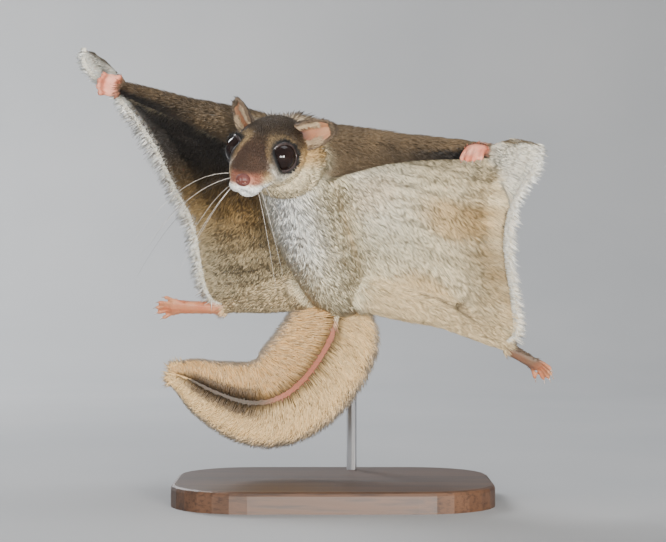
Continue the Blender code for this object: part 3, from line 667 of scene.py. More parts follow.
def nearest_rim(points, side):
    """How far each place is from the free edge of a membrane."""
    rim = np.array([trunk.at(*place) for place in smooth_rows(MEMBRANE_EDGE[side], 90)])
    tree = KDTree(len(rim))
    for index, place in enumerate(rim):
        tree.insert(place, index)
    tree.balance()
    return np.array([tree.find(point)[2] for point in points])


def tail_place(points):
    """How far along the tail each place is, from 0 to 1, and how far out to its side."""
    middles = tail_rows[:, :3]
    nearest = np.array([np.argmin(((middles - point) ** 2).sum(1)) for point in points])
    gap = points - middles[nearest]
    return tail_travel[nearest] / tail_travel[-1], (gap * tail_side[nearest]).sum(1)


class Coat:
    """What the coat is like at places on the body: its colour, lie and length."""

    def __init__(self, surface, shares):
        self.points = surface.points
        self.normals = surface.normals
        self.share = {group: shares[:, index] for index, group in enumerate(GROUPS)}
        self.body = trunk.places(self.points)
        self.face = head.places(self.points)
        self.over = self.normals @ trunk.up
        self.toward = -self.normals[:, 1]
        self.rim = {}
        for side in SIDES:
            self.rim[side] = np.full(len(self.points), 99.0)
            here = self.share["wing_" + side] + self.share["tip_" + side] > 0.02
            self.rim[side][here] = nearest_rim(self.points[here], side)
        self.tail_at = np.zeros(len(self.points))
        self.tail_out = np.zeros(len(self.points))
        here = self.share["tail"] > 0.02
        self.tail_at[here], self.tail_out[here] = tail_place(self.points[here])

    def head_colour(self):
        """Grey-brown crown, cream cheeks and throat, a dark ring round each eye and a pink muzzle."""
        forward, left, up = self.face.T
        fleck = ripple(self.points, 2.3, 2.0) * 0.5 + 0.5
        crown = mix(CROWN, FLECK, fleck * 0.55)
        crown = mix(crown, (0.13, 0.065, 0.035), step(22, 29, forward) * 0.6)
        colour = mix(CHEEK, crown, step(-2.6, 1.8, up + 0.22 * (forward - 22) - 0.05 * np.abs(left)))
        colour = mix(colour, CREAM, step(-2.0, -6.5, up) * 0.9)
        for side in SIDES:
            eye = self.points - head.at(*mirrored(EYE_PLACE, side))
            axis = eye_axis(side)
            out = np.linalg.norm(eye - (eye @ axis)[:, None] * axis, axis=1)
            out = out + 99 * ((eye @ axis) < -2)
            below = step(1, -4, eye @ head.up)
            colour = mix(colour, (0.46, 0.36, 0.22), step(8.2, 6.6, out) * 0.6)
            colour = mix(colour, WHITE, step(10, 7, out) * below * 0.6)
            colour = mix(colour, EYE_RING_AND_SHADE, step(6.2, 5.5, out))
        muzzle = step(33.5, 36.5, forward) * step(-6.6, -5.2, up) * step(-1.2, -2.8, up)
        colour = mix(colour, (0.44, 0.20, 0.14), muzzle * 0.85)
        lips = step(26, 31, forward) * step(-5.2, -6.6, up)
        return mix(colour, WHITE, lips * 0.95)

    def trunk_colour(self):
        """Grey-brown above, cream below with a bluish-white chest."""
        forward, left, _ = self.body.T
        fleck = ripple(self.points, 3.2, 1.0) * 0.5 + 0.5
        above = mix(BROWN, FLECK, fleck * 0.5)
        below = mix(CREAM, BELLY_GREY, ripple(self.points, 9.0, 0.3) * 0.3 + 0.2)
        chest = step(16, 0, np.abs(left + 6)) * step(-35, 5, forward)
        below = mix(below, WHITE, chest)
        flank = mix(below, BUFF, 0.55)
        colour = mix(below, flank, step(-0.35, 0.1, self.over))
        return mix(colour, above, step(0.0, 0.4, self.over))

    def arm_colour(self, side):
        fleck = ripple(self.points, 2.6, 3.0) * 0.5 + 0.5
        outward = np.abs(self.body[:, 1])
        above = mix(BROWN, FLECK, 0.30 + fleck * 0.65)
        # Painted shade: the underside of the arm is darkened almost to black out towards the wrist
        above = mix(above, EYE_RING_AND_SHADE, step(-0.62, -0.86, self.over) * step(30, 58, outward) * 0.85)
        below = mix(CREAM, BUFF, 0.12 + 0.15 * fleck)
        edge = step(0.10, 0.28, self.share["wing_" + side]) * step(-0.35, -0.6, self.over)
        return mix(above, below, edge)

    def wing_colour(self, side):
        """Cream-buff below with grey and buff patches, olive-brown above and a white edge, with painted shade
        on the right underside.
        """
        forward, left, _ = self.body.T
        outward = np.abs(left)
        rim = self.rim[side]
        patch = ripple(self.points, 11, 1.0 + SIGN[side])
        streak = ripple(self.body * (1.0, 0.3, 1.0), 2.6, 4.0)
        if side == "left":
            below = mix(CREAM, BELLY_GREY, step(0.0, 0.8, patch) * 0.45)
            below = mix(below, BUFF, step(0.10, 0.75, -patch) * 0.45 + step(28, 60, outward) * 0.16)
            band = step(24, 9, rim) * step(1.5, 5, rim)
            below = mix(below, mix(BUFF, OLIVE, 0.45), band * (0.32 + 0.35 * streak))
            below = mix(below, WHITE, step(46, 20, outward) * step(-30, 10, forward) * 0.35)
        else:
            # Painted shade: the right membrane's underside is olive-buff instead of cream, lightening towards
            # the back and near the body
            below = mix(OLIVE, BUFF, 0.30 + 0.20 * patch)
            below = mix(below, CREAM, step(5, -40, forward) * 0.55 + step(30, 14, outward) * 0.30)
            # Painted shadow: near black under the arm
            painted_shadow_under_arm = step(-8, 26, forward) * step(12, 24, outward)
            below = mix(below, (0.030, 0.019, 0.010), painted_shadow_under_arm * 0.94)
        below = below * (1 - 0.07 * (1 + streak))[:, None]
        above = mix(BROWN, OLIVE, 0.45 + 0.25 * patch)
        colour = mix(below, above, step(-0.12, 0.2, self.over))
        tip = self.share["tip_" + side] * step(0.1, -0.2, self.over) * 0.8
        colour = mix(colour, mix(WHITE, BELLY_GREY, 0.4), tip)
        return mix(colour, WHITE, step(3.4, 1.2, rim) * 0.9)

    def leg_colour(self):
        below = mix(CREAM, BUFF, 0.35)
        above = mix(BROWN, OLIVE, 0.3)
        return mix(below, above, step(-0.3, 0.15, self.over))

    def foot_colour(self, side):
        """Bare pink sole, toes and palm, with dark short fur on the back of the foot."""
        limb = feet[side]
        sole = (self.points - limb.centre) @ limb.up
        ahead = (self.points - limb.centre) @ limb.forward
        bare = mix((0.55, 0.24, 0.14), (0.60, 0.36, 0.23), ripple(self.points, 2.0) * 0.5 + 0.5)
        furred = np.array((0.20, 0.16, 0.12)) if side == "left" else np.array((0.42, 0.34, 0.25))
        near = step(SOLE_LENGTH[side] + 2, SOLE_LENGTH[side] - 3, ahead)
        cover = near * (step(0.2, 1.6, sole) if side == "right" else step(-3.0, -0.5, sole) * 0.4 + 0.55)
        return mix(bare, furred, cover)

    def hand_colour(self, side):
        bare = mix(PINK, (0.82, 0.50, 0.40), ripple(self.points, 2.0, 1.0) * 0.5 + 0.5)
        limb = hands[side]
        ahead = (self.points - limb.centre) @ limb.forward
        return mix(bare, (0.45, 0.40, 0.33), step(1.5, -1.5, ahead) * 0.8)

    def tail_colour(self):
        outer = self.tail_out > 0
        base = mix(TAIL_TAN, (0.66, 0.50, 0.30), 0.5 + 0.5 * ripple(self.points, 5))
        colour = mix(base, TAIL_TIP, step(2, 10, np.abs(self.tail_out)) * (0.35 + 0.3 * outer))
        middle = step(3.4, 2.0, np.abs(self.tail_out))
        colour = mix(colour, (0.62, 0.23, 0.14), middle * step(0.62, 0.5, self.tail_at) * 0.9)
        colour = mix(colour, (0.12, 0.085, 0.06), middle * step(0.5, 0.62, self.tail_at) * 0.85)
        back = step(-0.1, 0.4, -self.toward)
        return mix(colour, mix(TAIL_TAN, BROWN, 0.35), back)

    def colour(self):
        makers = {"head": self.head_colour, "neck": self.trunk_colour, "torso": self.trunk_colour,
                  "tail": self.tail_colour}
        for side in SIDES:
            makers["arm_" + side] = lambda side=side: self.arm_colour(side)
            makers["wing_" + side] = lambda side=side: self.wing_colour(side)
            makers["tip_" + side] = lambda side=side: self.wing_colour(side)
            makers["leg_" + side] = self.leg_colour
            makers["foot_" + side] = lambda side=side: self.foot_colour(side)
            makers["hand_" + side] = lambda side=side: self.hand_colour(side)
        return rich(sum(self.share[group][:, None] * makers[group]() for group in GROUPS))

    def lie(self):
        """The way the coat lies: back from the nose, out along the limbs and membranes, and off the tail."""
        directions = np.zeros_like(self.points)
        back = -trunk.forward
        for group in GROUPS:
            share = self.share[group][:, None]
            side = group.split("_")[-1]
            if group == "head":
                radial = self.face * (0, 1, 1)
                radial = unit(radial @ np.array((head.forward, head.left, head.up)))
                way = unit(-head.forward + 0.35 * radial)
                for eye_side in SIDES:
                    gap = self.points - head.at(*mirrored(EYE_PLACE, eye_side))
                    axis = eye_axis(eye_side)
                    out = gap - (gap @ axis)[:, None] * axis
                    near = step(10, 5.5, np.linalg.norm(out, axis=1)) * ((gap @ axis) > -3)
                    way = unit(mix(way, unit(out), near * 0.9))
            elif group in ("neck", "torso"):
                outward = np.sign(self.body[:, 1] + 3)[:, None] * trunk.left
                way = unit(back + outward * 0.5 * step(0.3, -0.5, self.over)[:, None])
            elif kind(group) == "arm":
                reach = unit(trunk.direction(*(np.array(WRIST[side]) - SHOULDER[side])))
                way = unit(reach + back * 0.55)
            elif kind(group) == "leg":
                reach = unit(trunk.direction(*(np.array(ANKLE[side]) - HIP[side])))
                way = unit(reach + back * 0.3)
            elif kind(group) in ("wing", "tip"):
                outward = SIGN[side] * trunk.left
                near = step(20, 3, self.rim[side])[:, None]
                way = unit(outward * (0.55 + 0.55 * near) + back * (0.85 - 0.35 * near))
            elif kind(group) == "hand":
                way = np.tile(hands[side].forward, (len(self.points), 1))
            elif kind(group) == "foot":
                way = np.tile(feet[side].forward, (len(self.points), 1))
            else:
                way = np.tile(back, (len(self.points), 1))
            directions += share * way
        return directions

    def length(self):
        """How long the hair is."""
        table = {"head": 3.0, "neck": 5.6, "torso": 7.0, "arm": 4.6, "hand": 1.2, "leg": 5.0, "foot": 1.6,
                 "wing": 5.6, "tip": 4.0, "tail": 7.0}
        shares = np.array([self.share[group] for group in GROUPS]).T
        length = by_part(shares, table)
        forward, _, up = self.face.T
        head_share = self.share["head"]
        length -= head_share * step(20, 34, forward) * 2.0
        length += head_share * step(12, 2, forward) * 1.0
        return length

    def bareness(self):
        """Where the skin shows its own colour, not the hair's dark roots: hands, soles, toes and nose."""
        bare = sum(self.share[limb + "_" + side] for side in SIDES for limb in ("hand", "foot"))
        return np.clip(bare + self.share["head"] * step(27, 34, self.face[:, 0]), 0, 1)

    def cover(self):
        """How thickly the hair grows: little on the hands, and none on the soles and toes."""
        cover = np.ones(len(self.points))
        for side in SIDES:
            foot, hand = self.share["foot_" + side], self.share["hand_" + side]
            ahead = (self.points - feet[side].centre) @ feet[side].forward
            sole = (self.points - feet[side].centre) @ feet[side].up
            furred = step(0.0, 1.2, sole) * step(SOLE_LENGTH[side] + 3, SOLE_LENGTH[side] - 2, ahead)
            edge = step(-1.6, 0.0, sole) * 0.5 * (ahead < SOLE_LENGTH[side] - 2)
            cover *= 1 - foot * (1 - np.maximum(furred, edge))
            ahead = (self.points - hands[side].centre) @ hands[side].forward
            cover *= 1 - hand * step(-1.0, 2.5, ahead) * 0.96
        return cover


# Hair

BAKE_PATCH = 0.003


class Hair:
    """Many closed three-sided tapered hairs or tufts, gathered for one piece."""

    def __init__(self):
        self.parts = []

    def add(self, paths, flat, widths, colours, uv, thin=0.45):
        """Adds strands along paths of k places, flat to the way each faces: k - 1 widths, k colours."""
        count, stations = paths.shape[:2]
        along = unit(np.gradient(paths, axis=1))
        across = unit(np.cross(np.broadcast_to(flat[:, None], along.shape), along))
        over = np.cross(along, across)
        half = widths[..., None] * 0.5
        places, across, over = paths[:, :-1], across[:, :-1] * half, over[:, :-1] * half * 2 * thin
        body = np.stack((places - across, places + across, places + over), axis=2).reshape(count, -1, 3)
        points = np.concatenate((body, paths[:, -1:]), axis=1)
        corners = 3 * (stations - 1)
        faces = [(0, 2, 1)]
        for ring in range(stations - 2):
            for corner in range(3):
                a, b = ring * 3 + corner, ring * 3 + (corner + 1) % 3
                faces += [(a, b, b + 3), (a, b + 3, a + 3)]
        last = corners - 3
        faces += [(last + corner, last + (corner + 1) % 3, corners) for corner in range(3)]
        tone = np.concatenate((np.repeat(colours[:, :-1], 3, axis=1), colours[:, -1:]), axis=1)
        patch = [(corner / 2, ring / (stations - 1)) for ring in range(stations - 1) for corner in range(3)]
        patch = np.array(patch + [(0.5, 1.0)]) * BAKE_PATCH
        self.parts.append((points, np.array(faces), tone, uv[:, None] + patch[None]))

    def piece(self, name, slot, material, *nodes):
        points, faces, tones, patches, start = [], [], [], [], 0
        for part, shape, tone, patch in self.parts:
            count, corners = part.shape[:2]
            points.append(part.reshape(-1, 3))
            faces.append((shape[None] + (np.arange(count) * corners + start)[:, None, None]).reshape(-1, 3))
            tones.append(tone.reshape(-1, 3))
            patches.append(patch.reshape(-1, 2))
            start += count * corners
        points, faces = np.concatenate(points), np.concatenate(faces)
        mesh = bpy.data.meshes.new(name)
        mesh.vertices.add(len(points))
        mesh.vertices.foreach_set("co", (points * MM).astype(np.float32).ravel())
        mesh.loops.add(faces.size)
        mesh.loops.foreach_set("vertex_index", faces.astype(np.int32).ravel())
        mesh.polygons.add(len(faces))
        mesh.polygons.foreach_set("loop_start", np.arange(len(faces), dtype=np.int32) * 3)
        mesh.update(calc_edges=True)
        paint(mesh, np.concatenate(tones))
        layer = mesh.uv_layers.new(name="OFBake")
        layer.uv.foreach_set("vector", np.concatenate(patches)[faces.ravel()].astype(np.float32).ravel())
        return new_piece(name, mesh, material, slot, *nodes)


def paint(mesh, colours):
    """Writes the markings onto a mesh's corners."""
    rows = np.concatenate((np.clip(colours, 0, 1), np.ones((len(colours), 1))), axis=1)
    layer = mesh.color_attributes.new("markings", "FLOAT_COLOR", "POINT")
    layer.data.foreach_set("color", rows.astype(np.float32).ravel())


def unwrapped(points, normals, axes, centre):
    """Each place on an unwrap of the part's own shape, with its upper and under sides beside each other."""
    along, across, over = axes
    place = np.stack(((points - centre) @ along, (points - centre) @ across), axis=1)
    low, high = place.min(axis=0), place.max(axis=0)
    share = (place - low) / (high - low)
    back = (normals @ over) < 0
    return np.stack((share[:, 1] * 0.485 + back * 0.5, share[:, 0] * 0.985), axis=1) + 0.004


def scatter(chance, surface, weight, count):
    """Random places on a skin, more where weight is larger: triangles and shares of their corners."""
    area = np.linalg.norm(surface.facing, axis=1) * weight[surface.triangles].mean(axis=1)
    total = np.cumsum(area)
    chosen = np.minimum(np.searchsorted(total, chance.random(count) * total[-1]), len(total) - 1)
    first, second = chance.random(count), chance.random(count)
    flip = first + second > 1
    first, second = np.where(flip, 1 - first, first), np.where(flip, 1 - second, second)
    return surface.triangles[chosen], np.stack((1 - first - second, first, second), axis=1)


def leaning(way, normals, angle):
    """Directions lifted from the skin by an angle."""
    return way * np.cos(angle)[:, None] + normals * np.sin(angle)[:, None]


def tufts(hair, chance, places, normals, way, length, lift, width, colour, uv,
          under=0.66, tip=1.10, sway=0.08):
    """Adds tufts of the coat that leave the skin steeply and bend down along it."""
    count = len(places)
    way = unit(way - (way * normals).sum(1, keepdims=True) * normals)
    aside = np.cross(normals, way)
    way = unit(way + aside * chance.normal(0, sway, (count, 1)))
    length = length * chance.uniform(0.72, 1.18, count)
    lift = lift * chance.uniform(0.6, 1.35, count)
    bend = chance.normal(0, 0.03, count)
    root = places - normals * 0.35
    middle = places + leaning(way, normals, lift * 1.35) * (length * 0.45)[:, None]
    end = middle + leaning(way, normals, lift * 0.35) * (length * 0.55)[:, None]
    end = end + aside * (length * bend)[:, None]
    paths = np.stack((root, middle, end), axis=1)
    width = width * chance.uniform(0.7, 1.25, count)
    widths = np.stack((width * 0.8, width), axis=1)
    shade = chance.uniform(0.80, 1.16, (count, 1))
    warm = chance.normal(0, 0.02, (count, 1)) * np.array((1.0, 0.2, -0.8))
    colour = np.clip(colour * shade * (1 + warm), 0, 1)
    colours = np.stack((colour * under, colour, np.clip(colour * tip, 0, 1)), axis=1)
    hair.add(paths, normals, widths, colours, uv)


def clear_of_face(points):
    """Which places leave the eyes, the nose and the ears' openings free."""
    free = np.ones(len(points), bool)
    for side in SIDES:
        gap = points - head.at(*mirrored(EYE_PLACE, side))
        axis = eye_axis(side)
        deep = gap @ axis
        out = np.linalg.norm(gap - deep[:, None] * axis, axis=1)
        free &= ~((out < 5.2) & (deep > -1))
        root, along, opening, _ = ear_axes(side)
        mouth = points - (root + along * 2.0 + opening * 1.5)
        free &= np.linalg.norm(mouth, axis=1) > 3.2
    free &= np.linalg.norm(points - head.at(*NOSE_PLACE), axis=1) > 2.9
    return free


def near_eyes(points):
    gaps = [np.linalg.norm(points - head.at(*mirrored(EYE_PLACE, side)), axis=1) for side in SIDES]
    return np.minimum(*gaps)


# Name, slot, parts, tufts, width in millimetres, lift in degrees, shade of the roots, seed
COAT_PIECES = [
    ("coat_head", "fur_back", ["head"], 19800, 0.28, 15, 0.72, 11),
    ("coat_trunk", "fur_belly", ["torso", "neck"], 19800, 0.42, 11, 0.80, 12),
    ("coat_arms", "fur_back", ["arm_left", "arm_right"], 18000, 0.38, 14, 0.66, 13),
    ("coat_legs", "fur_back", ["leg_left", "leg_right", "foot_left", "foot_right", "hand_left", "hand_right"],
     12000, 0.38, 12, 0.78, 14),
    ("coat_membrane_left", "fur_belly", ["wing_left", "tip_left"], 18000, 0.40, 5, 0.86, 15),
    ("coat_membrane_right", "fur_belly", ["wing_right", "tip_right"], 17000, 0.40, 5, 0.82, 16),
]


def grow_coat(surface, coat, look):
    """The coat's pieces over the skin."""
    colour, way, length = look
    for name, slot, groups, count, width, lift, under, seed in COAT_PIECES:
        chance = np.random.default_rng(seed)
        share = sum(coat.share[group] for group in groups)
        weight = share * (share > 0.30)
        # Closer where the camera looks
        weight = weight * (1 + 0.8 * step(-0.3, 0.4, coat.toward)) * coat.cover()
        corners, portion = scatter(chance, surface, weight, count)

        def at(values):
            portions = portion if values.ndim == 1 else portion[..., None]
            return (values[corners] * portions).sum(axis=1)

        points, normals = at(surface.points), unit(at(surface.normals))
        keep = clear_of_face(points)
        axes = (trunk.forward, trunk.left, trunk.up)
        uv = unwrapped(points, normals, axes, trunk.centre)
        hair = Hair()
        near = near_eyes(points)
        sizes = at(length) * (0.35 + 0.65 * step(5.0, 9.0, near))
        tufts(hair, chance, points[keep], normals[keep], at(way)[keep], sizes[keep],
              np.radians(lift), width, at(colour)[keep], uv[keep], under)
        hair.piece(name, slot, FUR)


FRINGE_TUFTS = 4200
RIM_PLACES = 240


def edge_fringe():
    """The white hairs that stand out from the free edges of the membranes."""
    hair = Hair()
    for side, seed in zip(SIDES, (21, 22)):
        chance = np.random.default_rng(seed)
        count = FRINGE_TUFTS
        rim = np.array([trunk.at(*place) for place in smooth_rows(MEMBRANE_EDGE[side], RIM_PLACES)])
        along = unit(np.gradient(rim, axis=0))
        outward = unit(np.cross(along, trunk.up) * SIGN[side])
        spot = chance.random(count) * (RIM_PLACES - 1.01)
        index = spot.astype(int)
        place = mix(rim[index], rim[index + 1], spot - index)
        out, level = outward[index], np.tile(trunk.up, (count, 1))
        clump = 0.5 + 0.5 * np.sin(spot * 1.9 + 1.7 * np.sin(spot * 0.7))
        size = 1.9 + 0.8 * clump
        root = place - out * chance.uniform(0.7, 2.2, (count, 1))
        root = root + level * chance.uniform(-0.5, 0.5, (count, 1))
        way = out * 0.9 + trunk.forward * -0.42 + level * chance.normal(0, 0.10, (count, 1))
        white = rich(mix(WHITE, CREAM, chance.random(count) * 0.7))
        uv = np.stack((chance.random(count) * 0.02 + (0.3 if side == "left" else 0.6), spot / 245), axis=1)
        tufts(hair, chance, root, level, way, size, 0.02, 0.30, white, uv, 0.8, 1.05, 0.16)
    hair.piece("coat_fringe", "fur_belly", FUR)


def along_tail(distance):
    """Place, sideways direction and half width at distances down the tail, past its end too."""
    inside = np.clip(distance, 0, tail_travel[-1])
    axes = [np.interp(inside, tail_travel, tail_rows[:, axis]) for axis in range(4)]
    index = np.clip(np.searchsorted(tail_travel, inside), 0, len(tail_rows) - 1)
    beyond = (distance - inside)[:, None]
    return np.stack(axes[:3], axis=1) + tail_along[index] * beyond, tail_side[index], axes[3]


TOWARD_CAMERA = np.array((0.0, -1.0, 0.0))
TAIL_WIDTHS = (0.42, 0.52, 0.40)
# Side of the tail, the way it faces, strands and seed
TAIL_COATS = [("front", 1, 11400, 31), ("back", -1, 10000, 32)]


def tail_hair():
    """Long hair that parts down the tail's middle and is combed out to both sides and towards its tip."""
    length = tail_travel[-1]
    for name, face, count, seed in TAIL_COATS:
        chance = np.random.default_rng(seed)
        hair = Hair()
        start = chance.random(count) ** 0.92 * 1.02 - 0.02
        row = np.clip(start, 0, 1) * length
        side = np.where(chance.random(count) < 0.5, -1.0, 1.0)
        layer = chance.random(count)

        middle, sideways, half = along_tail(row)
        slim = np.minimum(1, half / 10)
        reach = 0.42 + 0.62 * layer ** 0.6
        sweep = (0.04 + 0.42 * chance.random(count) + 0.16 * (side < 0)) * half * reach
        around = 0.10 + layer ** 1.2 * 1.35
        core = sideways * (side * half * CORE_SHARE * np.sin(around))[:, None]
        core = core + TOWARD_CAMERA * (face * 3.1 * slim * np.cos(around))[:, None]
        stations = [middle + core * 0.92]
        for share in (0.35, 0.70, 1.0):
            place, way, wide = along_tail(row + sweep * share ** 1.25)
            out = between(CORE_SHARE * np.sin(around), reach, share ** 0.85)
            lift = 3.9 * slim * np.cos(around) * (1 - 0.72 * share ** 1.5) + 0.9 * slim * (1 - share)
            place = place + way * (side * np.minimum(wide, half * 1.15 + 2) * out)[:, None]
            place = place + TOWARD_CAMERA * (face * (lift + chance.normal(0, 0.25, count)))[:, None]
            stations.append(place)
        paths = np.stack(stations, axis=1)
        widths = np.array(TAIL_WIDTHS) * chance.uniform(0.7, 1.3, (count, 1))
        base = mix(TAIL_TAN, (0.66, 0.50, 0.31), chance.random(count))
        outer = side > 0
        base = mix(base, TAIL_TIP, 0.42 * outer + 0.1)
        groove = step(0.30, 0.05, layer) * step(0.52, 0.66, start) * step(0.97, 0.86, start)
        base = mix(base, (0.13, 0.095, 0.07), groove * 0.8)
        if face < 0:
            base = mix(base, mix(BROWN, TAIL_TAN, 0.45), 0.7)
        shade = chance.uniform(0.8, 1.15, (count, 1))
        base = rich(base)
        pale = mix(base, WHITE, 0.22 + 0.3 * (reach > 0.9))
        colours = np.stack((base * 0.5, base * 0.85, base, pale), axis=1) * shade[:, None]
        tile = 0.5 if face < 0 else 0.0
        uv = np.stack((0.25 + side * (0.02 + 0.2 * layer) + tile, np.clip(start, 0, 1) * 0.99), axis=1)
        front = np.tile(TOWARD_CAMERA * face, (count, 1))
        hair.add(paths, front, widths, np.clip(colours, 0, 1), uv)
        tail_end(hair, chance, face)
        hair.piece("coat_tail_" + name, "fur_tail", FUR)


def tail_end(hair, chance, face, count=400):
    """The hairs that fan out round the tail's end."""
    spot = chance.integers(92, 114, count)
    fan = chance.uniform(-0.95, 0.95, count)
    size = chance.uniform(6.5, 9.0, count)
    way = tail_along[spot] * np.cos(fan)[:, None] + tail_side[spot] * np.sin(fan)[:, None]
    front = np.tile(TOWARD_CAMERA * face, (count, 1))
    root = tail_rows[spot, :3] + front * 0.4
    stations = [root]
    for share, lift in ((0.35, 1.3), (0.7, 1.0), (1.0, 0.0)):
        stations.append(root + way * (size * share)[:, None] + front * lift)
    base = rich(mix(TAIL_TAN, TAIL_TIP, 0.3 + 0.4 * chance.random(count)))
    colours = np.stack((base * 0.6, base * 0.9, base, mix(base, WHITE, 0.4)), axis=1)
    widths = np.array(TAIL_WIDTHS) * chance.uniform(0.7, 1.2, (count, 1))
    uv = np.stack((0.25 + 0.1 * fan + (0.5 if face < 0 else 0.0), np.full(count, 0.985)), axis=1)
    hair.add(np.stack(stations, axis=1), front, widths, colours, uv)


def between(first, second, share):
    return first * (1 - share) + second * share


# Head

def eye_piece(side):
    """A glossy black eye in its socket."""
    shell = bmesh.new()
    axis = eye_axis(side)
    turn = Vector(axis).to_track_quat("Z", "Y").to_matrix().to_4x4()
    place = Matrix.Translation(head.at(*mirrored(EYE_PLACE, side))) @ turn
    bmesh.ops.create_uvsphere(shell, u_segments=56, v_segments=36, radius=EYE_RADIUS, matrix=place)
    new_piece("eyeball_" + side, shell_mesh("eyeball_" + side, shell), EYE_GLASS, "eye", "eye_" + side)


LID_PLACES = 64
LID_SIDES = 10


def lid_piece(side):
    """The thick dark rim of the lids, a little almond-shaped and a little thicker at both corners."""
    shell = bmesh.new()
    axis = eye_axis(side)
    centre = head.at(*mirrored(EYE_PLACE, side))
    fore = unit(np.cross(np.cross(axis, head.forward), axis))
    over = np.cross(axis, fore) * SIGN[side]
    rings = []
    for place_index in range(LID_PLACES):
        angle = place_index / LID_PLACES * 2 * math.pi
        corner = abs(math.cos(angle)) ** 6
        radius = LID_RADIUS * (1 + 0.055 * corner - 0.03 * abs(math.sin(angle)) ** 4)
        height = math.sqrt(max(EYE_RADIUS ** 2 - radius ** 2, 0.3)) + 0.05
        out = fore * math.cos(angle) + over * math.sin(angle)
        wide, tall = 0.62 + 0.10 * corner, 0.50
        ring = []
        for turn in range(LID_SIDES):
            around = turn / LID_SIDES * 2 * math.pi
            place = centre + out * (radius + 0.18 + wide * math.cos(around))
            ring.append(shell.verts.new(place + axis * (height + tall * math.sin(around))))
        rings.append(ring)
    for near, far in zip(rings, rings[1:] + rings[:1]):
        for index in range(LID_SIDES):
            after = (index + 1) % LID_SIDES
            shell.faces.new((near[index], near[after], far[after], far[index]))
    new_piece("lids_" + side, shell_mesh("lids_" + side, shell), LID_SKIN, "bare_skin")


def ear_axes(side):
    root = head.at(*mirrored(EAR_ROOT, side))
    along = unit(head.direction(*EAR_ALONG[side]))
    opening = head.direction(*EAR_OPENING[side])
    opening = unit(opening - along * (opening @ along))
    return root, along, opening, np.cross(along, opening)


EAR_ROWS, EAR_COLUMNS = 26, 33
EAR_SKIN = 0.55


def ear_piece(side):
    """A thin cupped ear with a rolled rim, an inner fold and soft ridges, pink inside."""
    root, along, opening, across = ear_axes(side)
    inner = np.zeros((EAR_ROWS, EAR_COLUMNS, 3))
    colours = np.zeros((EAR_ROWS, EAR_COLUMNS, 3))
    for row in range(EAR_ROWS):
        share = row / (EAR_ROWS - 1)
        half_width = EAR_HALF_WIDTH * math.sqrt(max(1 - (1.12 * share - 0.30) ** 2 / 0.72, 0.012))
        cup = 3.4 * (1 - 0.55 * share)
        for column in range(EAR_COLUMNS):
            part = column / (EAR_COLUMNS - 1) * 2 - 1
            turn = part * math.radians(84 - 30 * share)
            rim = max(0.0, abs(part) - 0.86) / 0.14
            ridge = 0.16 * math.sin(part * 9 + 0.8) * (1 - share) ** 0.5
            fold = 0.9 * math.exp(-((part + 0.42 * SIGN[side]) / 0.15) ** 2 - ((share - 0.30) / 0.22) ** 2)
            depth = cup * (math.cos(turn) - 0.3) - ridge - fold + 0.35 * rim ** 2
            place = across * half_width * math.sin(turn) - opening * depth
            inner[row, column] = root + along * EAR_LENGTH * (share - 0.12) + place
            # Painted shade: the ear's opening is a dark patch at the base of the cup, and the mesh has no
            # hole there
            painted_opening_shade = math.exp(-(part / 0.55) ** 2) * max(0.0, 1 - share / 0.42)
            tone = mix((0.27, 0.10, 0.045), (0.34, 0.17, 0.085), share + 0.3 * math.sin(part * 6 + share * 9))
            tone = mix(tone, (0.035, 0.014, 0.018), min(1.0, painted_opening_shade * 1.4))
            colours[row, column] = mix(tone, (0.05, 0.035, 0.024), rim * 0.9)
    normal = np.cross(np.gradient(inner, axis=0), np.gradient(inner, axis=1))
    normal = unit(normal)
    if (normal[EAR_ROWS // 2, EAR_COLUMNS // 2] @ opening) < 0:
        normal = -normal
    outer = inner - normal * EAR_SKIN
    shell = bmesh.new()
    sheets = [[[shell.verts.new(place) for place in row] for row in grid] for grid in (inner, outer)]
    for front_row in range(EAR_ROWS - 1):
        for column in range(EAR_COLUMNS - 1):
            for grid in sheets:
                shell.faces.new((grid[front_row][column], grid[front_row][column + 1],
                                 grid[front_row + 1][column + 1], grid[front_row + 1][column]))
    border = [(0, column) for column in range(EAR_COLUMNS)]
    border += [(row, EAR_COLUMNS - 1) for row in range(1, EAR_ROWS)]
    border += [(EAR_ROWS - 1, column) for column in range(EAR_COLUMNS - 2, -1, -1)]
    border += [(row, 0) for row in range(EAR_ROWS - 2, 0, -1)]
    for (row, column), (next_row, next_column) in zip(border, border[1:] + border[:1]):
        shell.faces.new((sheets[0][row][column], sheets[0][next_row][next_column],
                         sheets[1][next_row][next_column], sheets[1][row][column]))
    mesh = shell_mesh("ear_cup_" + side, shell)
    back = np.tile(np.array((0.06, 0.042, 0.028)), (EAR_ROWS * EAR_COLUMNS, 1))
    paint(mesh, np.concatenate((colours.reshape(-1, 3), back)))
    new_piece("ear_cup_" + side, mesh, SKIN, "bare_skin", "ear_" + side)
    return inner, outer, normal


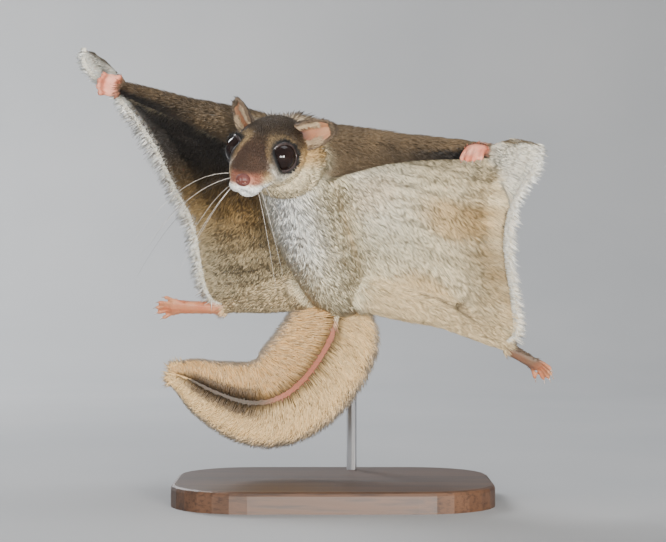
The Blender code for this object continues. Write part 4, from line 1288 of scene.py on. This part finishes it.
def ear_hair(side, shape, seed):
    """Short hair over the back of the ear, a fine rim and a few pale hairs inside."""
    inner, outer, normal = shape
    chance = np.random.default_rng(seed)
    _, along, opening, across = ear_axes(side)
    hair = Hair()

    def grow(count, rows, columns, face, length, lift, width, colour, way):
        row = chance.uniform(*rows, count) * (EAR_ROWS - 1.001)
        column = (chance.uniform(*columns, count) * 0.5 + 0.5) * (EAR_COLUMNS - 1.001)
        grid = inner if face > 0 else outer
        place = bilinear(grid, row, column)
        out = unit(bilinear(normal, row, column)) * face
        uv = np.stack((column / EAR_COLUMNS * 0.45 + (0.5 if face < 0 else 0), row / EAR_ROWS), axis=1) * 0.98
        ways, colours = np.tile(way, (count, 1)), np.tile(colour, (count, 1))
        tufts(hair, chance, place + out * 0.3, out, ways, np.full(count, length), lift, width, colours, uv,
              0.75, 1.15, 0.3)

    grow(1500, (0.0, 1.0), (-1, 1), -1, 2.2, 0.16, 0.24, (0.075, 0.052, 0.033), along)
    for edge in (-1, 1):
        low, high = sorted((edge * 0.90, edge * 1.0))
        grow(260, (0.05, 1.0), (low, high), 1, 1.5, 0.5, 0.17, (0.16, 0.11, 0.07),
             along * 0.6 + across * edge * 0.8)
        low, high = sorted((edge * 0.55, edge * 0.95))
        grow(260, (0.0, 0.6), (low, high), 1, 2.6, 0.6, 0.16, (0.46, 0.34, 0.21), along - across * edge * 0.5)
    grow(200, (0.90, 1.0), (-1, 1), 1, 1.4, 0.4, 0.17, (0.11, 0.08, 0.05), along)
    hair.piece("coat_ear_" + side, "fur_back", FUR)


def bilinear(grid, row, column):
    """A grid read between its rows and columns."""
    i, j = row.astype(int), column.astype(int)
    u, v = (row - i)[:, None], (column - j)[:, None]
    near = grid[i, j] * (1 - v) + grid[i, j + 1] * v
    far = grid[i + 1, j] * (1 - v) + grid[i + 1, j + 1] * v
    return near * (1 - u) + far * u


def nose_piece():
    """The bare nose pad, with two comma-shaped nostrils and the groove between them."""
    shell = bmesh.new()
    ball(shell, head.at(*NOSE_PLACE), (2.2, 2.7, 2.25), head, 56, 40)
    centre = head.at(*NOSE_PLACE)
    for vertex in shell.verts:
        place = np.array(vertex.co) - centre
        forward, left, up = place @ head.forward, place @ head.left, place @ head.up
        dent = 0.0
        if forward > -0.6:
            for sign in (-1, 1):
                away = ((left - sign * (1.30 + 0.22 * (up + 0.3))) / 0.52) ** 2 + ((up + 0.30) / 0.36) ** 2
                dent += 0.95 * math.exp(-away)
            dent += 0.38 * math.exp(-(left / 0.20) ** 2) * (1 if up < 0.9 else 0.3)
        vertex.co -= Vector(head.forward * dent)
    new_piece("nose_pad", shell_mesh("nose_pad", shell), NOSE_SKIN, "bare_skin")


def whiskers():
    """Long curved whiskers in rows on both lips, and one over each eye."""
    shell = {"dark": bmesh.new(), "pale": bmesh.new()}
    for side in SIDES:
        for tone, root, way, length, droop in WHISKERS[side]:
            start = head.at(*mirrored(root, side))
            heading = unit(head.direction(*mirrored(way, side)))
            places, sizes = [], []
            for index in range(12):
                share = index / 11
                place = start + heading * length * share + np.array((0, 0.25, -1.0)) * droop * share ** 2
                places.append(place)
                size = 0.10 * (1 - 0.82 * share)
                sizes.append((size, size))
            tube(shell[tone], places, sizes, 3, (0.2, 1, 0.1))
    for tone, material in (("dark", WHISKER_DARK), ("pale", WHISKER_PALE)):
        new_piece("whiskers_" + tone, shell_mesh("whiskers_" + tone, shell[tone]), material, "fur_back")


# Tone, root on the head, way it leaves (forward, outward, up), length and droop in millimetres
WHISKERS = {
    "left": [
        ("dark", (34.5, 4.2, -4.6), (0.30, 0.75, -0.55), 30, 14),
        ("dark", (33.0, 5.0, -5.4), (0.10, 0.80, -0.60), 33, 17),
        ("pale", (34.8, 3.8, -6.4), (0.32, 0.42, -0.85), 30, 10),
        ("dark", (31.8, 5.6, -4.2), (0.00, 0.90, -0.35), 36, 20),
        ("pale", (33.4, 4.6, -7.2), (0.15, 0.45, -0.90), 27, 8),
        ("dark", (30.8, 6.0, -6.0), (-0.20, 0.85, -0.50), 30, 13),
        ("pale", (31.0, 5.6, -7.4), (-0.10, 0.50, -0.85), 22, 6),
        ("dark", (20.0, 8.2, 8.0), (0.20, 0.60, 0.75), 13, 1),
    ],
    "right": [
        ("pale", (34.5, 4.2, -4.6), (0.30, 0.85, -0.20), 34, 22),
        ("dark", (33.0, 5.0, -5.4), (0.12, 0.90, -0.35), 38, 26),
        ("pale", (34.8, 3.8, -6.4), (0.30, 0.55, -0.70), 30, 12),
        ("pale", (31.8, 5.6, -4.2), (0.05, 0.95, -0.05), 40, 30),
        ("pale", (33.4, 4.6, -7.2), (0.20, 0.55, -0.75), 27, 9),
        ("dark", (30.8, 6.0, -6.0), (-0.15, 0.95, -0.20), 36, 24),
        ("pale", (31.0, 5.6, -7.4), (-0.05, 0.70, -0.60), 24, 10),
        ("dark", (20.0, 8.2, 8.0), (0.20, 0.60, 0.75), 13, 1),
    ],
}


# Hands and feet

def claws():
    """A small hooked claw on each finger and toe."""
    shell = bmesh.new()
    for side in SIDES:
        digits = []
        for index in range(4):
            spread = (index - 1.5) / 1.5
            root = (PALM_LENGTH - 0.6 - 0.8 * spread ** 2, 3.2 * spread, -0.3)
            reach = (4.8 - 0.6 * spread ** 2, 0.3 * spread, 0.6)
            digits.append((hands[side], root, reach, HAND_CURL[side], 1.05, 1.7))
        for index in range(5):
            spread = (index - 2) / 2
            root = (SOLE_LENGTH[side] - 0.8 - 1.4 * spread ** 2, 2.7 * spread, -0.6)
            reach = (6.6 - 1.6 * spread ** 2, 2.3 * spread, 0.4)
            digits.append((feet[side], root, reach, FOOT_CURL[side], 0.92, 2.1))
        for limb, root, reach, curl, radius, claw in digits:
            root, reach, up = np.array(root), np.array(reach), np.array((0, 0, 1))
            length = np.linalg.norm(reach)
            tip = root + reach - up * curl * length
            lead = unit(reach - up * 2 * curl * length)
            places, sizes = [], []
            for share in (-0.35, 0.0, 0.3, 0.55, 0.8, 1.0):
                place = tip + lead * claw * share - up * 0.45 * claw * max(share, 0) ** 2 + up * 0.25 * radius
                places.append(limb.at(*place))
                size = 0.62 * radius * (1 - 0.86 * max(share, 0) ** 0.8)
                sizes.append((size * 0.72, size))
            tube(shell, places, sizes, 8, limb.up)
    new_piece("claws", shell_mesh("claws", shell), CLAW_HORN, "bare_skin")


# Stand, room and camera

def dress_stand():
    """The stand's own solids keep their shape and take wood and steel."""
    for name, material in (("stand_base", oiled_walnut()), ("stand_rod", brushed_steel())):
        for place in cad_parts[name].material_slots:
            place.link = "OBJECT"
            place.material = material


def sweep_floor():
    """A plain pale floor that curves up behind the model."""
    finish = Finish("studio_floor", Roughness=0.85)
    cloud = finish.noise(6, 3.0)
    finish.feed("Base Color", finish.tones(cloud, (0.40, 0.405, 0.41), (0.44, 0.44, 0.44), high=0.7))
    shell = bmesh.new()
    profile = [(-1400, 0), (700, 0)]
    for index in range(1, 13):
        turn = index / 12 * math.pi / 2
        profile.append((700 + 500 * math.sin(turn), 500 - 500 * math.cos(turn)))
    profile.append((1200, 2200))
    rows = [[shell.verts.new((x, y, z)) for y, z in profile] for x in (-2600, 2600)]
    for index in range(len(profile) - 1):
        shell.faces.new((rows[0][index], rows[1][index], rows[1][index + 1], rows[0][index + 1]))
    mesh = bpy.data.meshes.new("studio_floor")
    shell.to_mesh(mesh)
    shell.free()
    mesh.transform(Matrix.Scale(MM, 4))
    mesh.shade_smooth()
    mesh.materials.append(finish.material)
    floor = bpy.data.objects.new("studio_floor", mesh)
    bpy.context.scene.collection.objects.link(floor)


def area_light(name, place, target, power, size, colour):
    light = bpy.data.lights.new(name, "AREA")
    light.energy = power
    light.size = size
    light.color = colour
    lamp = bpy.data.objects.new(name, light)
    lamp.location = place
    lamp.rotation_euler = (Vector(target) - Vector(place)).to_track_quat("-Z", "Y").to_euler()
    bpy.context.scene.collection.objects.link(lamp)
    return lamp


def light_room():
    world = bpy.data.worlds.new("studio")
    world.use_nodes = True
    world.node_tree.nodes["Background"].inputs["Color"].default_value = (0.80, 0.86, 0.95, 1)
    world.node_tree.nodes["Background"].inputs["Strength"].default_value = 0.30
    bpy.context.scene.world = world
    middle = (0, 0, 0.10)
    area_light("key_light", (0.34, -1.15, 0.09), middle, 27, 0.30, (1.0, 0.96, 0.90))
    area_light("low_light", (-0.06, -1.0, 0.04), middle, 15, 0.30, (1.0, 0.98, 0.95))
    area_light("fill_light", (-1.2, -0.8, 0.25), middle, 3, 0.9, (0.90, 0.95, 1.0))
    area_light("top_light", (0.2, -0.1, 1.1), middle, 4, 0.6, (0.95, 0.97, 1.0))
    area_light("rim_light", (-0.6, 0.9, 0.7), middle, 14, 0.4, (0.95, 0.97, 1.0))


def place_camera():
    """The photo's view: level, 770 mm in front of the tail, with the picture's middle 88 mm up."""
    camera = bpy.data.cameras.new("camera")
    camera.sensor_width = 36
    camera.lens = 0.760 * 36 / (666 * 0.00038)
    camera.clip_start = 0.01
    holder = bpy.data.objects.new("camera", camera)
    holder.location = (0, -0.770, 0.088)
    holder.rotation_euler = (math.pi / 2, 0, 0)
    bpy.context.scene.collection.objects.link(holder)
    bpy.context.scene.camera = holder


def main():
    mesh, surface, shares = shape_skin()
    coat = Coat(surface, shares)
    colour = surface.soften(coat.colour(), 2)
    way = unit(surface.soften(coat.lie(), 12))
    paint(mesh, colour * (0.55 + 0.45 * coat.bareness())[:, None])
    flesh = [name for name in GROUP_OF if not name.startswith("ear_")]
    new_piece("skin", mesh, SKIN, "fur_belly", *flesh)
    grow_coat(surface, coat, (colour, way, coat.length()))
    edge_fringe()
    tail_hair()
    for side, seed in zip(SIDES, (41, 42)):
        eye_piece(side)
        lid_piece(side)
        ear_hair(side, ear_piece(side), seed)
    nose_piece()
    whiskers()
    claws()
    dress_stand()
    sweep_floor()
    light_room()
    place_camera()


main()
